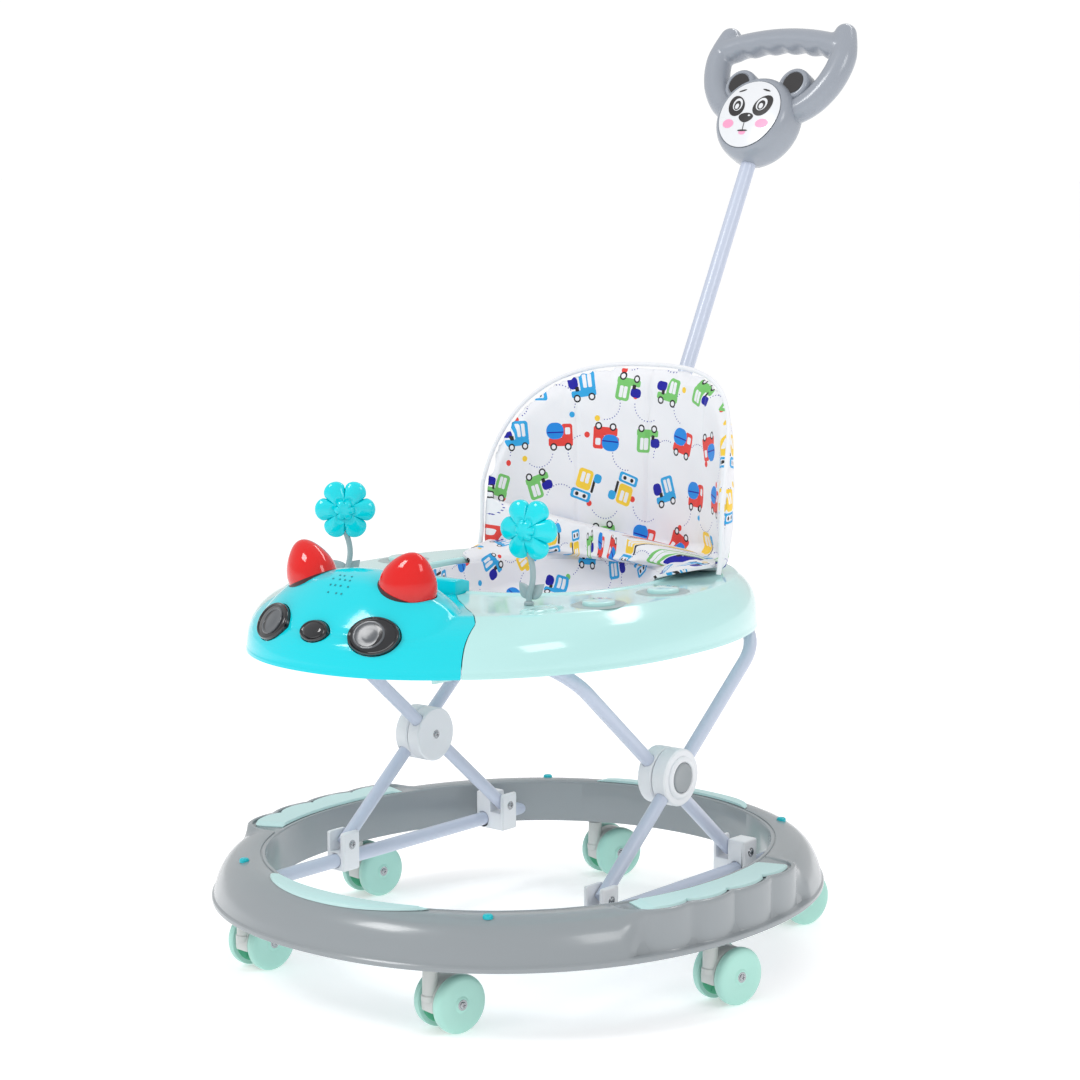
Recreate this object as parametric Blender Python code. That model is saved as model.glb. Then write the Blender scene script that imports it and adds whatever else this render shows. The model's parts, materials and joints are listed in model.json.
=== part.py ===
"""Baby walker: an oval base on six twin-wheel casters, a scissor frame that folds, a play tray with
a cloth seat, and a push handle. Units are metres, +Z is up, the front is -Y, and the floor is at Z = 0."""

import math

import bmesh
import bpy
from mathutils import Matrix, Vector

# Where the base ring's middle lies, so that the origin is under the middle of the whole walker.
RING_Y = -0.0808

GAP = 0.0004  # clearance between neighbours

# Base ring: superellipse outlines as (half width X, half length Y, exponent, middle Y).
RING_OUTER = (0.298, 0.322, 2.15, 0.0)
RING_INNER = (0.2445, 0.2728, 2.08, 0.0)
PLAIN_STEP, FLUTED_STEP = 7.2, 2.1  # degrees between sections
RING_FOOT_Z = 0.069
RING_TOP_Z = 0.1145
SIDE_PAD_MID = math.radians(-3.75)
SIDE_PAD_HALF = math.radians(20.6)
SIDE_LOBES = 4
END_PAD_HALF = math.radians(23.0)
PAD_THICK = 0.0025

# Casters.
WHEEL_R = 0.0285
DISC_IN, DISC_OUT = 0.0108, 0.0212
HOOD_R = 0.0268
HOOD_HALF = 0.0098
TRAIL = 0.022
CASTER_FIRST = -126
CASTER_STEP = 60
CASTER_NAMES = ("front_left", "front_right", "right", "rear_right", "rear_left", "left")
CASTER_HEADINGS = (-6, -13, -12, -15, -20, -9)

# Scissor frame, seen from the side. Equal arms keep the tray level at every height.
BASE_TUBE_X = 0.172
BASE_TUBE_Z = 0.083
BASE_TUBE_R = 0.0075
LEG_R = 0.007
OUTER_X = 0.172
INNER_X = 0.1545
LEG_ANGLE = math.radians(40)
LOW_PIVOT_Z = 0.100
HUB_Z = 0.200
TOP_PIVOT_Z = 0.335
REAR_PIVOT_Y = 0.153
LOW_RUN = (HUB_Z - LOW_PIVOT_Z) / math.tan(LEG_ANGLE)
TOP_RUN = (TOP_PIVOT_Z - HUB_Z) / math.tan(LEG_ANGLE)
HUB_Y = REAR_PIVOT_Y - LOW_RUN
FRONT_PIVOT_Y = HUB_Y - LOW_RUN
BEND_R = 0.055
HUB_R = 0.029
HUB_HALF = 0.0083
CAP_R = 0.0155

# Tray.
TRAY_OUTER = (0.226, 0.287, 2.15, -0.020)
TRAY_OPENING = (0.128, 0.138, 2.1, 0.030)
TRAY_LOW_Z = 0.337
TRAY_BAND_Z = 0.3895
TRAY_STEPS = 44
PAN_Z = (0.3446, 0.3474)
PANEL_REACH = 0.12  # how far the toy panel reaches from the opening towards the tray's edge
PANEL_TOP_Z = 0.4035
SKIN = 0.0028

# Head: a dome over the front of the band. Half the angle it covers, in degrees, at each reach.
HEAD_EDGES = (
    (0, 10.5), (0.135, 10.5), (0.22, 15), (0.40, 24), (0.54, 29), (0.66, 33.3), (0.82, 37.0), (1.0, 36.5),
)
HEAD_RISE = 0.040
HEAD_HALF_X = 0.112
HEAD_MID_Y = -0.245
HEAD_BACK, HEAD_FRONT = 0.078, 0.055
DISC_SPOTS = ((0.170, -0.088), (0.172, 0.012))

# Toys on the head.
EAR = (0.062, -0.240, 0.0285, 0.0235)
EYE = (0.065, -0.289, 0.026, 0.0195)
NOSE = (0.0, -0.300, 0.0175, 0.0115)
FLOWER = (0.120, -0.132)
FLOWER_Z = 0.462
FLOWER_YAWS = {"right": 8, "left": 38}

# Seat.
BACK_MID_Y = 0.2245
BACK_HALF_X = 0.163
BACK_DEPTH = 0.120
BACK_SPAN = math.radians(79)
BACK_LOW_Z = 0.3925
BACK_RISE = 0.203
BACK_THICK = 0.016

# Push handle. The tube stands upright in its socket, then leans back.
ROD_R = 0.0083
ROD_Y = 0.244
ROD_FOOT_Z = 0.3495
ROD_BEND_Z = 0.5107
ROD_LEAN = math.atan(0.5183)
ROD_BEND_R = 0.16
ROD_TOP_Z = 0.832
PUCK_FOOT_Z = 0.805
PUCK_HALF_X, PUCK_HALF_S, PUCK_MID_S = 0.048, 0.050, 0.051
PUCK_EAR_X, PUCK_EAR_S, PUCK_EAR_R = 0.036, 0.096, 0.0195
GRIP_HALF_X = 0.077
GRIP_BAR_S, GRIP_BAR_R = 0.146, 0.0153


def clear_scene():
    for old in list(bpy.data.objects):
        bpy.data.objects.remove(old, do_unlink=True)


def material(name, colour, roughness=0.35, metallic=0.0, alpha=1.0):
    made = bpy.data.materials.get(name) or bpy.data.materials.new(name)
    made.use_nodes = True
    shader = made.node_tree.nodes["Principled BSDF"]
    shader.inputs["Base Color"].default_value = (*[channel**2.2 for channel in colour], 1)
    shader.inputs["Roughness"].default_value = roughness
    shader.inputs["Metallic"].default_value = metallic
    shader.inputs["Alpha"].default_value = alpha
    made.diffuse_color = (*colour, alpha)
    return made


def place(name, bm, look, pivot=(0, 0, 0), helper=False):
    """Makes the object, with its origin at the pivot, and hangs it on the walker's empty."""
    pivot = Vector(pivot)
    bmesh.ops.translate(bm, verts=bm.verts, vec=-pivot)
    bmesh.ops.recalc_face_normals(bm, faces=bm.faces)
    mesh = bpy.data.meshes.new(name)
    bm.to_mesh(mesh)
    bm.free()
    obj = bpy.data.objects.new(name, mesh)
    bpy.context.scene.collection.objects.link(obj)
    obj.parent = walker
    obj.location = pivot
    if look:
        mesh.materials.append(look)
    if helper:
        obj.hide_render = True
        obj.display_type = "WIRE"
    return obj


def boolean(target, cutter, operation="DIFFERENCE", solver="EXACT"):
    step = target.modifiers.new(operation.lower(), "BOOLEAN")
    step.operation = operation
    step.object = cutter
    step.solver = solver


def loft(rings, bm=None, closed=False, thin=False):
    """Skins rings of points. An open skin gets a face across each end, and a closed one joins end to start.
    A thin ring's second half runs back along its first, so its end is covered by a strip."""
    bm = bm or bmesh.new()
    rows = [[bm.verts.new(point) for point in ring] for ring in rings]
    pairs = list(zip(rows, rows[1:]))
    if closed:
        pairs.append((rows[-1], rows[0]))
    for low, high in pairs:
        for i in range(len(low)):
            j = (i + 1) % len(low)
            bm.faces.new((low[i], low[j], high[j], high[i]))
    ends = () if closed else (rows[0][::-1], rows[-1])
    for end in ends:
        last = len(end) - 1
        if thin:
            for i in range(len(end) // 2 - 1):
                bm.faces.new((end[i], end[i + 1], end[last - i - 1], end[last - i]))
        else:
            bm.faces.new(end)
    return bm


def sheet(rows):
    """Skins a grid of points, open on all four sides."""
    bm = bmesh.new()
    grid = [[bm.verts.new(point) for point in row] for row in rows]
    for low, high in zip(grid, grid[1:]):
        for i in range(len(low) - 1):
            bm.faces.new((low[i], low[i + 1], high[i + 1], high[i]))
    return bm


def circle(centre, across, up, radius, sides):
    turns = [2 * math.pi * i / sides for i in range(sides)]
    return [centre + across * radius * math.cos(a) + up * radius * math.sin(a) for a in turns]


def cylinder(start, end, radius, sides=20, bm=None):
    """A solid round bar from start to end."""
    start, end = Vector(start), Vector(end)
    along = (end - start).normalized()
    across = along.orthogonal().normalized()
    up = along.cross(across)
    return loft([circle(point, across, up, radius, sides) for point in (start, end)], bm)


def block(low, high, bm=None):
    (x0, y0, z0), (x1, y1, z1) = low, high
    corners = [(x0, y0), (x1, y0), (x1, y1), (x0, y1)]
    return loft([[Vector((x, y, z)) for x, y in corners] for z in (z0, z1)], bm)


def tube(path, radius, sides=12, bm=None):
    """Sweeps a circle along a path of points, keeping it square to the path and untwisted."""
    path = [Vector(point) for point in path]
    across = None
    rings = []
    for i, point in enumerate(path):
        along = (path[min(i + 1, len(path) - 1)] - path[max(i - 1, 0)]).normalized()
        across = along.orthogonal() if across is None else across - along * across.dot(along)
        across.normalize()
        size = radius[i] if isinstance(radius, (list, tuple)) else radius
        rings.append(circle(point, across, along.cross(across), size, sides))
    return loft(rings, bm)


def rounded_path(corners, radius, steps=6):
    """Replaces each inner corner of a path with an arc."""
    corners = [Vector(point) for point in corners]
    path = [corners[0]]
    for before, corner, after in zip(corners, corners[1:], corners[2:]):
        to_start, to_end = (before - corner).normalized(), (after - corner).normalized()
        half = to_start.angle(to_end) / 2
        middle = corner + (to_start + to_end).normalized() * radius / math.sin(half)
        spoke = corner + to_start * radius / math.tan(half) - middle
        axis = to_start.cross(to_end)
        turn = -(math.pi - 2 * half)
        for i in range(steps + 1):
            path.append(middle + Matrix.Rotation(turn * i / steps, 3, axis) @ spoke)
    path.append(corners[-1])
    return path


def outline(shape, turn):
    """A point on a superellipse."""
    half_x, half_y, power, mid_y = shape
    x, y = math.cos(turn), math.sin(turn)
    return Vector(
        (
            half_x * math.copysign(abs(x) ** (2 / power), x),
            mid_y + half_y * math.copysign(abs(y) ** (2 / power), y),
            0,
        )
    )


def between(inner, outer, turn, reach, z):
    """The point part of the way, by reach, from one outline to another."""
    point = outline(inner, turn).lerp(outline(outer, turn), reach)
    point.z = z
    return point


def smooth(low, high, value):
    part = min(max((value - low) / (high - low), 0), 1)
    return part * part * (3 - 2 * part)


def interpolate(knots, x):
    for (x0, y0), (x1, y1) in zip(knots, knots[1:]):
        if x <= x1:
            return y0 + (y1 - y0) * (x - x0) / (x1 - x0)
    return knots[-1][1]


# ---- base ring, its pads and plugs ----

# Reach from the inner to the outer outline, and height, from the foot of the skirt up to the inner edge.
PLAIN_SKIN = (
    (1.0, RING_FOOT_Z), (1.0, 0.0735), (0.955, 0.0765), (0.88, 0.0905), (0.76, 0.1025), (0.58, 0.1105),
    (0.33, RING_TOP_Z), (0.0, RING_TOP_Z),
)
INNER_WALL = ((0.0, RING_FOOT_Z), (0.06, RING_FOOT_Z))
UNDER_SKIN = ((0.06, 0.1085), (0.50, 0.1070), (0.72, 0.0985), (0.84, 0.0870), (0.90, RING_FOOT_Z))


def side_turn(turn):
    """How far round a side pad this is, from -1 to 1 over the pad, on whichever side is nearer."""
    turn = (turn + math.pi) % (2 * math.pi) - math.pi
    mirrored = turn if abs(turn) < math.pi / 2 else math.copysign(math.pi, turn) - turn
    return (mirrored - SIDE_PAD_MID) / SIDE_PAD_HALF


def lobe(part):
    """The bulge of the scallops, from 0 in a notch to 1 on a lobe."""
    phase = (part + 1) / 2 * SIDE_LOBES
    return abs(math.sin(math.pi * phase)) ** 0.7


def ring_skin(turn):
    """The ring's outer skin at this turn: plain at the ends, an upright fluted wall beside the side pads."""
    part = side_turn(turn)
    share = 1 - smooth(1.0, 1.28, abs(part))
    wall = 0.80 + 0.09 * lobe(max(-1, min(1, part)))
    fluted = (
        (1.0, RING_FOOT_Z), (1.0, 0.0735), (wall + 0.012, 0.0755), (wall + 0.004, 0.090), (wall, 0.1085),
        (wall - 0.025, 0.1130), (0.33, 0.1130), (0.0, 0.1130),
    )
    return [
        (f0 + (f1 - f0) * share, z0 + (z1 - z0) * share) for (f0, z0), (f1, z1) in zip(PLAIN_SKIN, fluted)
    ]


def ring_top(turn, reach):
    """Height of the ring's outer skin."""
    return interpolate(sorted(ring_skin(turn)[2:]), reach)


def caster_spot(index):
    turn = math.radians(CASTER_FIRST + CASTER_STEP * index)
    return between(RING_INNER, RING_OUTER, turn, 0.44, 0)


def base_ring():
    rings = []
    turn = 0.0
    while turn < 2 * math.pi - 0.01:
        skin = ring_skin(turn)
        limit = skin[3][0] - 0.10
        under = [(min(f, limit + 0.02 * k), z) for k, (f, z) in enumerate(UNDER_SKIN)]
        profile = skin + list(INNER_WALL) + under
        rings.append([between(RING_INNER, RING_OUTER, turn, f, z) for f, z in profile])
        ahead = turn + math.radians(PLAIN_STEP)
        near_pad = min(abs(side_turn(turn)), abs(side_turn(ahead))) < 1.35
        turn += math.radians(FLUTED_STEP if near_pad else PLAIN_STEP)
    ring = place("base_ring", loft(rings, closed=True), GREY)
    bosses, holes = bmesh.new(), bmesh.new()
    for index in range(len(CASTER_NAMES)):
        spot = caster_spot(index)
        cylinder(spot + Vector((0, 0, 0.0705)), spot + Vector((0, 0, 0.1105)), 0.0085, 16, bosses)
        cylinder(spot + Vector((0, 0, 0.060)), spot + Vector((0, 0, 0.100)), 0.0050, 16, holes)
    for side in (-1, 1):
        x = side * BASE_TUBE_X
        cylinder((x, -0.212, BASE_TUBE_Z), (x, 0.212, BASE_TUBE_Z), BASE_TUBE_R + GAP, 16, holes)
    boolean(ring, place("cut_bosses", bosses, None, helper=True), "UNION")
    boolean(ring, place("cut_holes", holes, None, helper=True))


def pad(name, middle, half, reach_in, reach_out, steps):
    """A cover plate on the ring. Its outer edge follows reach_out, from its ends (-1, 1) to its middle."""
    rings = []
    for i in range(steps + 1):
        part = 2 * i / steps - 1
        turn = middle + half * part
        edge = max(reach_out(part), reach_in + 0.02)
        reaches = [reach_in + (edge - reach_in) * k / 3 for k in range(4)]
        low = [between(RING_INNER, RING_OUTER, turn, f, ring_top(turn, f) + 0.0009) for f in reaches]
        top = max(point.z for point in low) + PAD_THICK
        high = [Vector((p.x, p.y, min(p.z + PAD_THICK, top))) for p in reversed(low)]
        rings.append(low + high)
    return place(name, loft(rings, thin=True), MINT_SOFT)


def pads():
    for name, middle in (("front_pad", -math.pi / 2), ("rear_pad", math.pi / 2)):
        pad(name, middle, END_PAD_HALF, 0.10, lambda part: 0.12 + 0.42 * (1 - part * part) ** 0.6, 12)
    for name, middle, sign in (
        ("right_pad", SIDE_PAD_MID, 1),
        ("left_pad", math.pi - SIDE_PAD_MID, -1),
    ):
        pad(name, middle, SIDE_PAD_HALF * 0.97 * sign, 0.07, lambda part: 0.62 + 0.14 * lobe(part), 24)


PLUG_TURNS = {"front_left": -125.7, "front_right": -54.3, "rear_right": 54.3, "rear_left": 125.7}
PLUG_REACH = 0.42
PLUG_STEPS = ((0.0, 0.0052), (0.0014, 0.0052), (0.0026, 0.0036))  # height and radius


def plugs():
    for name, degrees in PLUG_TURNS.items():
        turn = math.radians(degrees)
        spot, ahead = (
            between(RING_INNER, RING_OUTER, turn, reach, ring_top(turn, reach) + 0.001)
            for reach in (PLUG_REACH, PLUG_REACH + 0.1)
        )
        slope = (ahead - spot).normalized()
        up = slope.cross(Vector((0, 0, 1)).cross(slope)).normalized()
        across = up.cross(slope)
        rings = [circle(spot + up * rise, slope, across, size, 12) for rise, size in PLUG_STEPS]
        place("plug_" + name, loft(rings), TEAL)


# ---- casters ----

# Half of the wheel pair, turned about its axle: distance along the axle, and radius.
WHEEL_PROFILE = (
    (0.0, 0.0032), (DISC_IN, 0.0032), (DISC_IN, WHEEL_R - 0.0005), (DISC_OUT - 0.0045, WHEEL_R),
    (DISC_OUT - 0.0010, WHEEL_R - 0.0035), (DISC_OUT, WHEEL_R - 0.010),
)


def caster(index, name):
    spot = caster_spot(index)
    heading = math.radians(CASTER_HEADINGS[index])
    axle = Vector((math.cos(heading), math.sin(heading), 0))
    back = Vector((-math.sin(heading), math.cos(heading), 0))
    up = Vector((0, 0, 1))
    centre = spot + back * TRAIL + up * WHEEL_R

    wheels = [(-x, r) for x, r in reversed(WHEEL_PROFILE)] + list(WHEEL_PROFILE[1:])
    rings = [circle(centre + axle * x, back, up, r, 20) for x, r in wheels]
    place("wheels_" + name, loft(rings), MINT_WHEEL, centre)

    arc = [math.radians(-14 + 208 * i / 11) for i in range(12)]
    shape = [centre + back * HOOD_R * math.cos(a) + up * HOOD_R * math.sin(a) for a in arc]
    hood = loft([[point + axle * side * HOOD_HALF for point in shape] for side in (-1, 1)])
    fork = place("caster_" + name, hood, HOOD, spot)
    stem = cylinder(spot + up * 0.030, spot + up * 0.062, 0.0075, 16)
    pin = cylinder(spot + up * 0.055, spot + up * 0.098, 0.0045, 16)
    bore = cylinder(centre - axle * 0.012, centre + axle * 0.012, 0.0037, 12)
    boolean(fork, place("cut_stem_" + name, stem, None, helper=True), "UNION")
    boolean(fork, place("cut_pin_" + name, pin, None, helper=True), "UNION")
    boolean(fork, place("cut_bore_" + name, bore, None, helper=True))


# ---- scissor frame ----


def base_tubes():
    for name, side in (("left", -1), ("right", 1)):
        x = side * BASE_TUBE_X
        rod = cylinder((x, -0.2105, BASE_TUBE_Z), (x, 0.2105, BASE_TUBE_Z), BASE_TUBE_R, 14)
        place("base_tube_" + name, rod, TUBE)


def bracket(name, side, pivot, leg_x, x_range):
    """A saddle round the base tube, with two cheeks that hold a leg's foot."""
    x0, x1 = sorted(side * x for x in x_range)
    y = pivot.y
    body = place(name, block((x0, y - 0.0125, 0.0722), (x1, y + 0.0125, 0.1135)), WHITE, pivot)
    body.modifiers.new("round", "BEVEL").width = 0.0018
    tube_x, leg_x = side * BASE_TUBE_X, side * leg_x
    bore = cylinder((tube_x, y - 0.03, BASE_TUBE_Z), (tube_x, y + 0.03, BASE_TUBE_Z), BASE_TUBE_R + GAP, 14)
    slot = block((leg_x - LEG_R - GAP, y - 0.03, 0.0918), (leg_x + LEG_R + GAP, y + 0.03, 0.13))
    boolean(body, place("cut_bore_" + name, bore, None, helper=True))
    boolean(body, place("cut_slot_" + name, slot, None, helper=True))


def leg_frame(name, x, foot_y, top_y, pivot):
    """One bent tube: a leg up each side and a cross tube under the tray."""
    foot, top = Vector((x, foot_y, LOW_PIVOT_Z)), Vector((x, top_y, TOP_PIVOT_Z))
    flip = Matrix.Diagonal((-1, 1, 1))
    path = rounded_path([foot, top, flip @ top, flip @ foot], BEND_R, 5)
    place(name, tube(path, LEG_R, 12), TUBE, pivot)


def hub_half(name, side, x, foot_y, top_y):
    """A disc round the leg at the scissor's middle, with a channel for the tube."""
    centre = Vector((side * x, HUB_Y, HUB_Z))
    out = Vector((side, 0, 0))
    flat, edge = HUB_HALF - 0.0015, HUB_R - 0.0015
    rim = ((-HUB_HALF, edge), (-flat, HUB_R), (flat, HUB_R), (HUB_HALF, edge))
    rings = [circle(centre + out * d, Vector((0, 1, 0)), Vector((0, 0, 1)), r, 28) for d, r in rim]
    disc = place(name, loft(rings), WHITE, centre)
    foot, top = Vector((side * x, foot_y, LOW_PIVOT_Z)), Vector((side * x, top_y, TOP_PIVOT_Z))
    channel = cylinder(foot, top, LEG_R + GAP, 12)
    boolean(disc, place("cut_" + name, channel, None, helper=True))


def scissor():
    hub = Vector((0, HUB_Y, HUB_Z))
    rear_foot = Vector((0, REAR_PIVOT_Y, LOW_PIVOT_Z))
    leg_frame("outer_leg_frame", OUTER_X, FRONT_PIVOT_Y, HUB_Y + TOP_RUN, hub)
    leg_frame("inner_leg_frame", INNER_X, REAR_PIVOT_Y, HUB_Y - TOP_RUN, rear_foot)
    for name, side in (("left", -1), ("right", 1)):
        hub_half("hub_outer_" + name, side, OUTER_X, FRONT_PIVOT_Y, HUB_Y + TOP_RUN)
        hub_half("hub_inner_" + name, side, INNER_X, REAR_PIVOT_Y, HUB_Y - TOP_RUN)
        face = side * (OUTER_X + HUB_HALF + GAP)
        cap = ((0.0, CAP_R), (0.0012, CAP_R), (0.0024, CAP_R - 0.0025))
        rings = [
            circle(Vector((face + side * d, HUB_Y, HUB_Z)), Vector((0, 1, 0)), Vector((0, 0, 1)), r, 24)
            for d, r in cap
        ]
        place("hub_cap_" + name, loft(rings), GREY, (face, HUB_Y, HUB_Z))
        pivot = Vector((side * OUTER_X, FRONT_PIVOT_Y, LOW_PIVOT_Z))
        bracket("front_slider_" + name, side, pivot, OUTER_X, (0.1590, 0.1850))
        pivot = Vector((side * INNER_X, REAR_PIVOT_Y, LOW_PIVOT_Z))
        bracket("rear_bracket_" + name, side, pivot, INNER_X, (0.1425, 0.1825))


# ---- tray ----


def head_edge(reach):
    """Half the angle that the head covers, seen from the opening, at this reach."""
    return math.radians(interpolate(HEAD_EDGES, reach))


# Reach and height of the tray's outer skin, from the foot of the skirt to the foot of the opening's wall,
# and of the skin's other side, point for point.
TRAY_SKIN = (
    (1.0, TRAY_LOW_Z), (1.0, 0.3415), (0.992, 0.352), (0.965, 0.3655), (0.90, 0.3785), (0.82, 0.3858),
    (0.69, TRAY_BAND_Z), (0.54, TRAY_BAND_Z), (0.38, TRAY_BAND_Z), (0.22, TRAY_BAND_Z), (0.06, TRAY_BAND_Z),
    (0.035, 0.3915), (0.0, 0.3905), (0.0, 0.3445),
)
TRAY_UNDERSIDE = (
    (0.975, TRAY_LOW_Z), (0.975, 0.342), (0.966, 0.351), (0.940, 0.363), (0.885, 0.3745), (0.81, 0.3820),
    (0.69, 0.3860), (0.54, 0.3860), (0.38, 0.3860), (0.22, 0.3860), (0.07, 0.3860),
    (0.045, 0.3860), (0.028, 0.3850), (0.028, 0.3445),
)


def tray_top():
    rings = []
    for i in range(TRAY_STEPS + 1):
        ring = []
        for reach, z in TRAY_SKIN + TRAY_UNDERSIDE[::-1]:
            edge = head_edge(reach) + 0.0035
            turn = -math.pi / 2 + edge + (2 * math.pi - 2 * edge) * i / TRAY_STEPS
            ring.append(between(TRAY_OPENING, TRAY_OUTER, turn, reach, z))
        rings.append(ring)
    tray = place("tray_top", loft(rings, thin=True), MINT, (0, HUB_Y + TOP_RUN, TOP_PIVOT_Z))
    hole = cylinder((0, ROD_Y, 0.35), (0, ROD_Y, 0.42), 0.0148 + GAP, 20)
    boolean(tray, place("cut_tray_socket", hole, None, helper=True))


# Where the head's skin lies with no dome on it: on the band, then down over the skirt.
HEAD_FOOT = (
    (0.135, TRAY_BAND_Z), (0.69, TRAY_BAND_Z), (0.82, 0.3858), (0.90, 0.3785), (0.965, 0.3655),
    (0.992, 0.352), (1.0, TRAY_LOW_Z),
)


def head_height(x, y, reach):
    half_y = HEAD_BACK if y > HEAD_MID_Y else HEAD_FRONT
    inside = max(0, 1 - (x / HEAD_HALF_X) ** 2 - ((y - HEAD_MID_Y) / half_y) ** 2)
    return interpolate(HEAD_FOOT, reach) + HEAD_RISE * inside**0.7 * (1 - min(reach, 1) ** 3) ** 0.5


def head_point(part, reach):
    """A point of the head's skin: part is -1 to 1 across it, reach 0 at the opening and 1 at the rim."""
    turn = -math.pi / 2 + (head_edge(reach) - 0.0005) * part
    flare = 1 - part * part
    wide = TRAY_OUTER[0] + 0.004 * flare, TRAY_OUTER[1] + 0.009 * flare, TRAY_OUTER[2], TRAY_OUTER[3]
    point = between(TRAY_OPENING, wide, turn, reach, 0)
    point.z = head_height(point.x, point.y, reach)
    return point


def head_frame(spot_x, spot_y):
    """The point of the head's skin over this spot, with directions across, along and out of the skin."""
    best = min(
        ((part / 200, reach / 200) for part in range(-200, 201, 4) for reach in range(30, 200)),
        key=lambda pair: (head_point(*pair).xy - Vector((spot_x, spot_y))).length,
    )
    point = head_point(*best)
    across = (head_point(best[0] + 0.02, best[1]) - head_point(best[0] - 0.02, best[1])).normalized()
    along = (head_point(best[0], best[1] - 0.01) - head_point(best[0], best[1] + 0.01)).normalized()
    return point, across, across.cross(along).normalized()


def toy(name, spot, profile, look, tilt=0.0, sides=20):
    """A round piece in a hole of the head: profile gives (height over the skin, part of the full size)."""
    x, y, half_across, half_along = spot
    point, across, out = head_frame(x, y)
    out = (out + Vector((math.copysign(tilt, x) if x else 0, 0, abs(tilt)))).normalized()
    across = (across - out * across.dot(out)).normalized()
    along = out.cross(across)

    def rings(grow):
        made = []
        for rise, size in profile:
            centre = point + out * rise
            turns = [2 * math.pi * i / sides for i in range(sides)]
            wide, deep = half_across * size + grow, half_along * size + grow
            made.append([centre + across * wide * math.cos(a) + along * deep * math.sin(a) for a in turns])
        return made

    piece = place(name, loft(rings(0)), look, point)
    foot = rings(GAP)[0]
    hole = [[corner + out * rise for corner in foot] for rise in (-0.001, 0.035)]
    return piece, place("cut_" + name, loft(hole), None, helper=True)


BUTTON = ((-0.011, 1.0), (0.0030, 1.0), (0.0048, 0.93), (0.0056, 0.80))
EAR_CONE = (
    (-0.013, 1.0), (0.003, 1.0), (0.012, 0.93), (0.021, 0.79), (0.029, 0.60), (0.035, 0.40), (0.0385, 0.20),
)


def head():
    rows = []
    reaches = (0.135, 0.2, 0.27, 0.34, 0.42, 0.5, 0.58, 0.66, 0.74, 0.8, 0.85, 0.9, 0.94, 0.97, 0.99, 1.0)
    for reach in reaches:
        rows.append([head_point(2 * i / 26 - 1, reach) for i in range(27)])
    cover = place("head_cover", sheet(rows), CYAN)
    if cover.data.polygons[0].normal.z < 0:
        cover.data.flip_normals()
    skin = cover.modifiers.new("skin", "SOLIDIFY")
    skin.thickness = SKIN
    skin.offset = -1
    toys = [
        toy("ear_left", (-EAR[0],) + EAR[1:], EAR_CONE, RED, 0.16),
        toy("ear_right", EAR, EAR_CONE, RED, 0.16),
        toy("eye_button_left", (-EYE[0],) + EYE[1:], BUTTON, BLACK),
        toy("eye_button_right", EYE, BUTTON, BLACK),
        toy("nose_button", NOSE, BUTTON, BLACK),
    ]
    for _, hole in toys:
        boolean(cover, hole)


def toy_panel():
    """A block on the pan between the head and the opening."""
    rings = []
    for reach, z in ((0.0, PANEL_TOP_Z - 0.003), (PANEL_REACH / 2, PANEL_TOP_Z), (PANEL_REACH, PANEL_TOP_Z)):
        edge = head_edge(reach) - 0.012
        row = [-math.pi / 2 + edge * (2 * i / 10 - 1) for i in range(11)]
        high = [between(TRAY_OPENING, TRAY_OUTER, turn, reach + 0.003, z) for turn in row]
        low = [Vector((p.x, p.y, PAN_Z[1] + GAP)) for p in reversed(high)]
        rings.append(high + low)
    place("toy_panel", loft(rings, thin=True), CYAN)


def tray_pan():
    """The plate under the tray, with the saddles of the rear cross tube and the front slide rails."""
    rings = []
    wall = ((0.045, PAN_Z[0]), (0.945, PAN_Z[0]), (0.945, PAN_Z[1]), (0.045, PAN_Z[1]))
    for i in range(40):
        turn = 2 * math.pi * i / 40
        rings.append([between(TRAY_OPENING, TRAY_OUTER, turn, f, z) for f, z in wall])
    rear_y = HUB_Y + TOP_RUN
    pan = place("tray_pan", loft(rings, closed=True), MINT_SOFT, (0, rear_y, TOP_PIVOT_Z))
    blocks, holes = bmesh.new(), bmesh.new()
    top = (PAN_Z[0] + PAN_Z[1]) / 2
    front_y = HUB_Y - TOP_RUN
    for side in (-1, 1):
        x0, x1 = sorted((side * 0.080, side * 0.100))
        block((x0, rear_y - 0.012, TOP_PIVOT_Z - 0.0105), (x1, rear_y + 0.012, top), blocks)
        x0, x1 = sorted((side * 0.088, side * 0.092))
        block((x0, front_y - 0.110, TOP_PIVOT_Z - 0.0105), (x1, front_y + 0.013, top), blocks)
        slot_low, slot_high = TOP_PIVOT_Z - LEG_R - 0.0006, TOP_PIVOT_Z + LEG_R + 0.0006
        x0, x1 = sorted((side * 0.085, side * 0.095))
        block((x0, front_y - 0.104, slot_low), (x1, front_y + 0.0085, slot_high), holes)
    cylinder((-0.11, rear_y, TOP_PIVOT_Z), (0.11, rear_y, TOP_PIVOT_Z), LEG_R + GAP, 14, holes)
    boolean(pan, place("cut_pan_blocks", blocks, None, helper=True), "UNION")
    boolean(pan, place("cut_pan_holes", holes, None, helper=True))


def tray_discs():
    for name, side in (("left", -1), ("right", 1)):
        for place_name, (x, y) in zip(("front", "rear"), DISC_SPOTS):
            z = TRAY_BAND_Z + GAP
            steps = ((z, 0.0150), (z + 0.003, 0.0150), (z + 0.0042, 0.0125))
            centre = Vector((side * x, y, 0))
            across, along = Vector((1, 0, 0)), Vector((0, 1.15, 0))
            rings = [circle(centre + Vector((0, 0, h)), across, along, r, 18) for h, r in steps]
            place(f"tray_disc_{place_name}_{name}", loft(rings), MINT)


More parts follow.
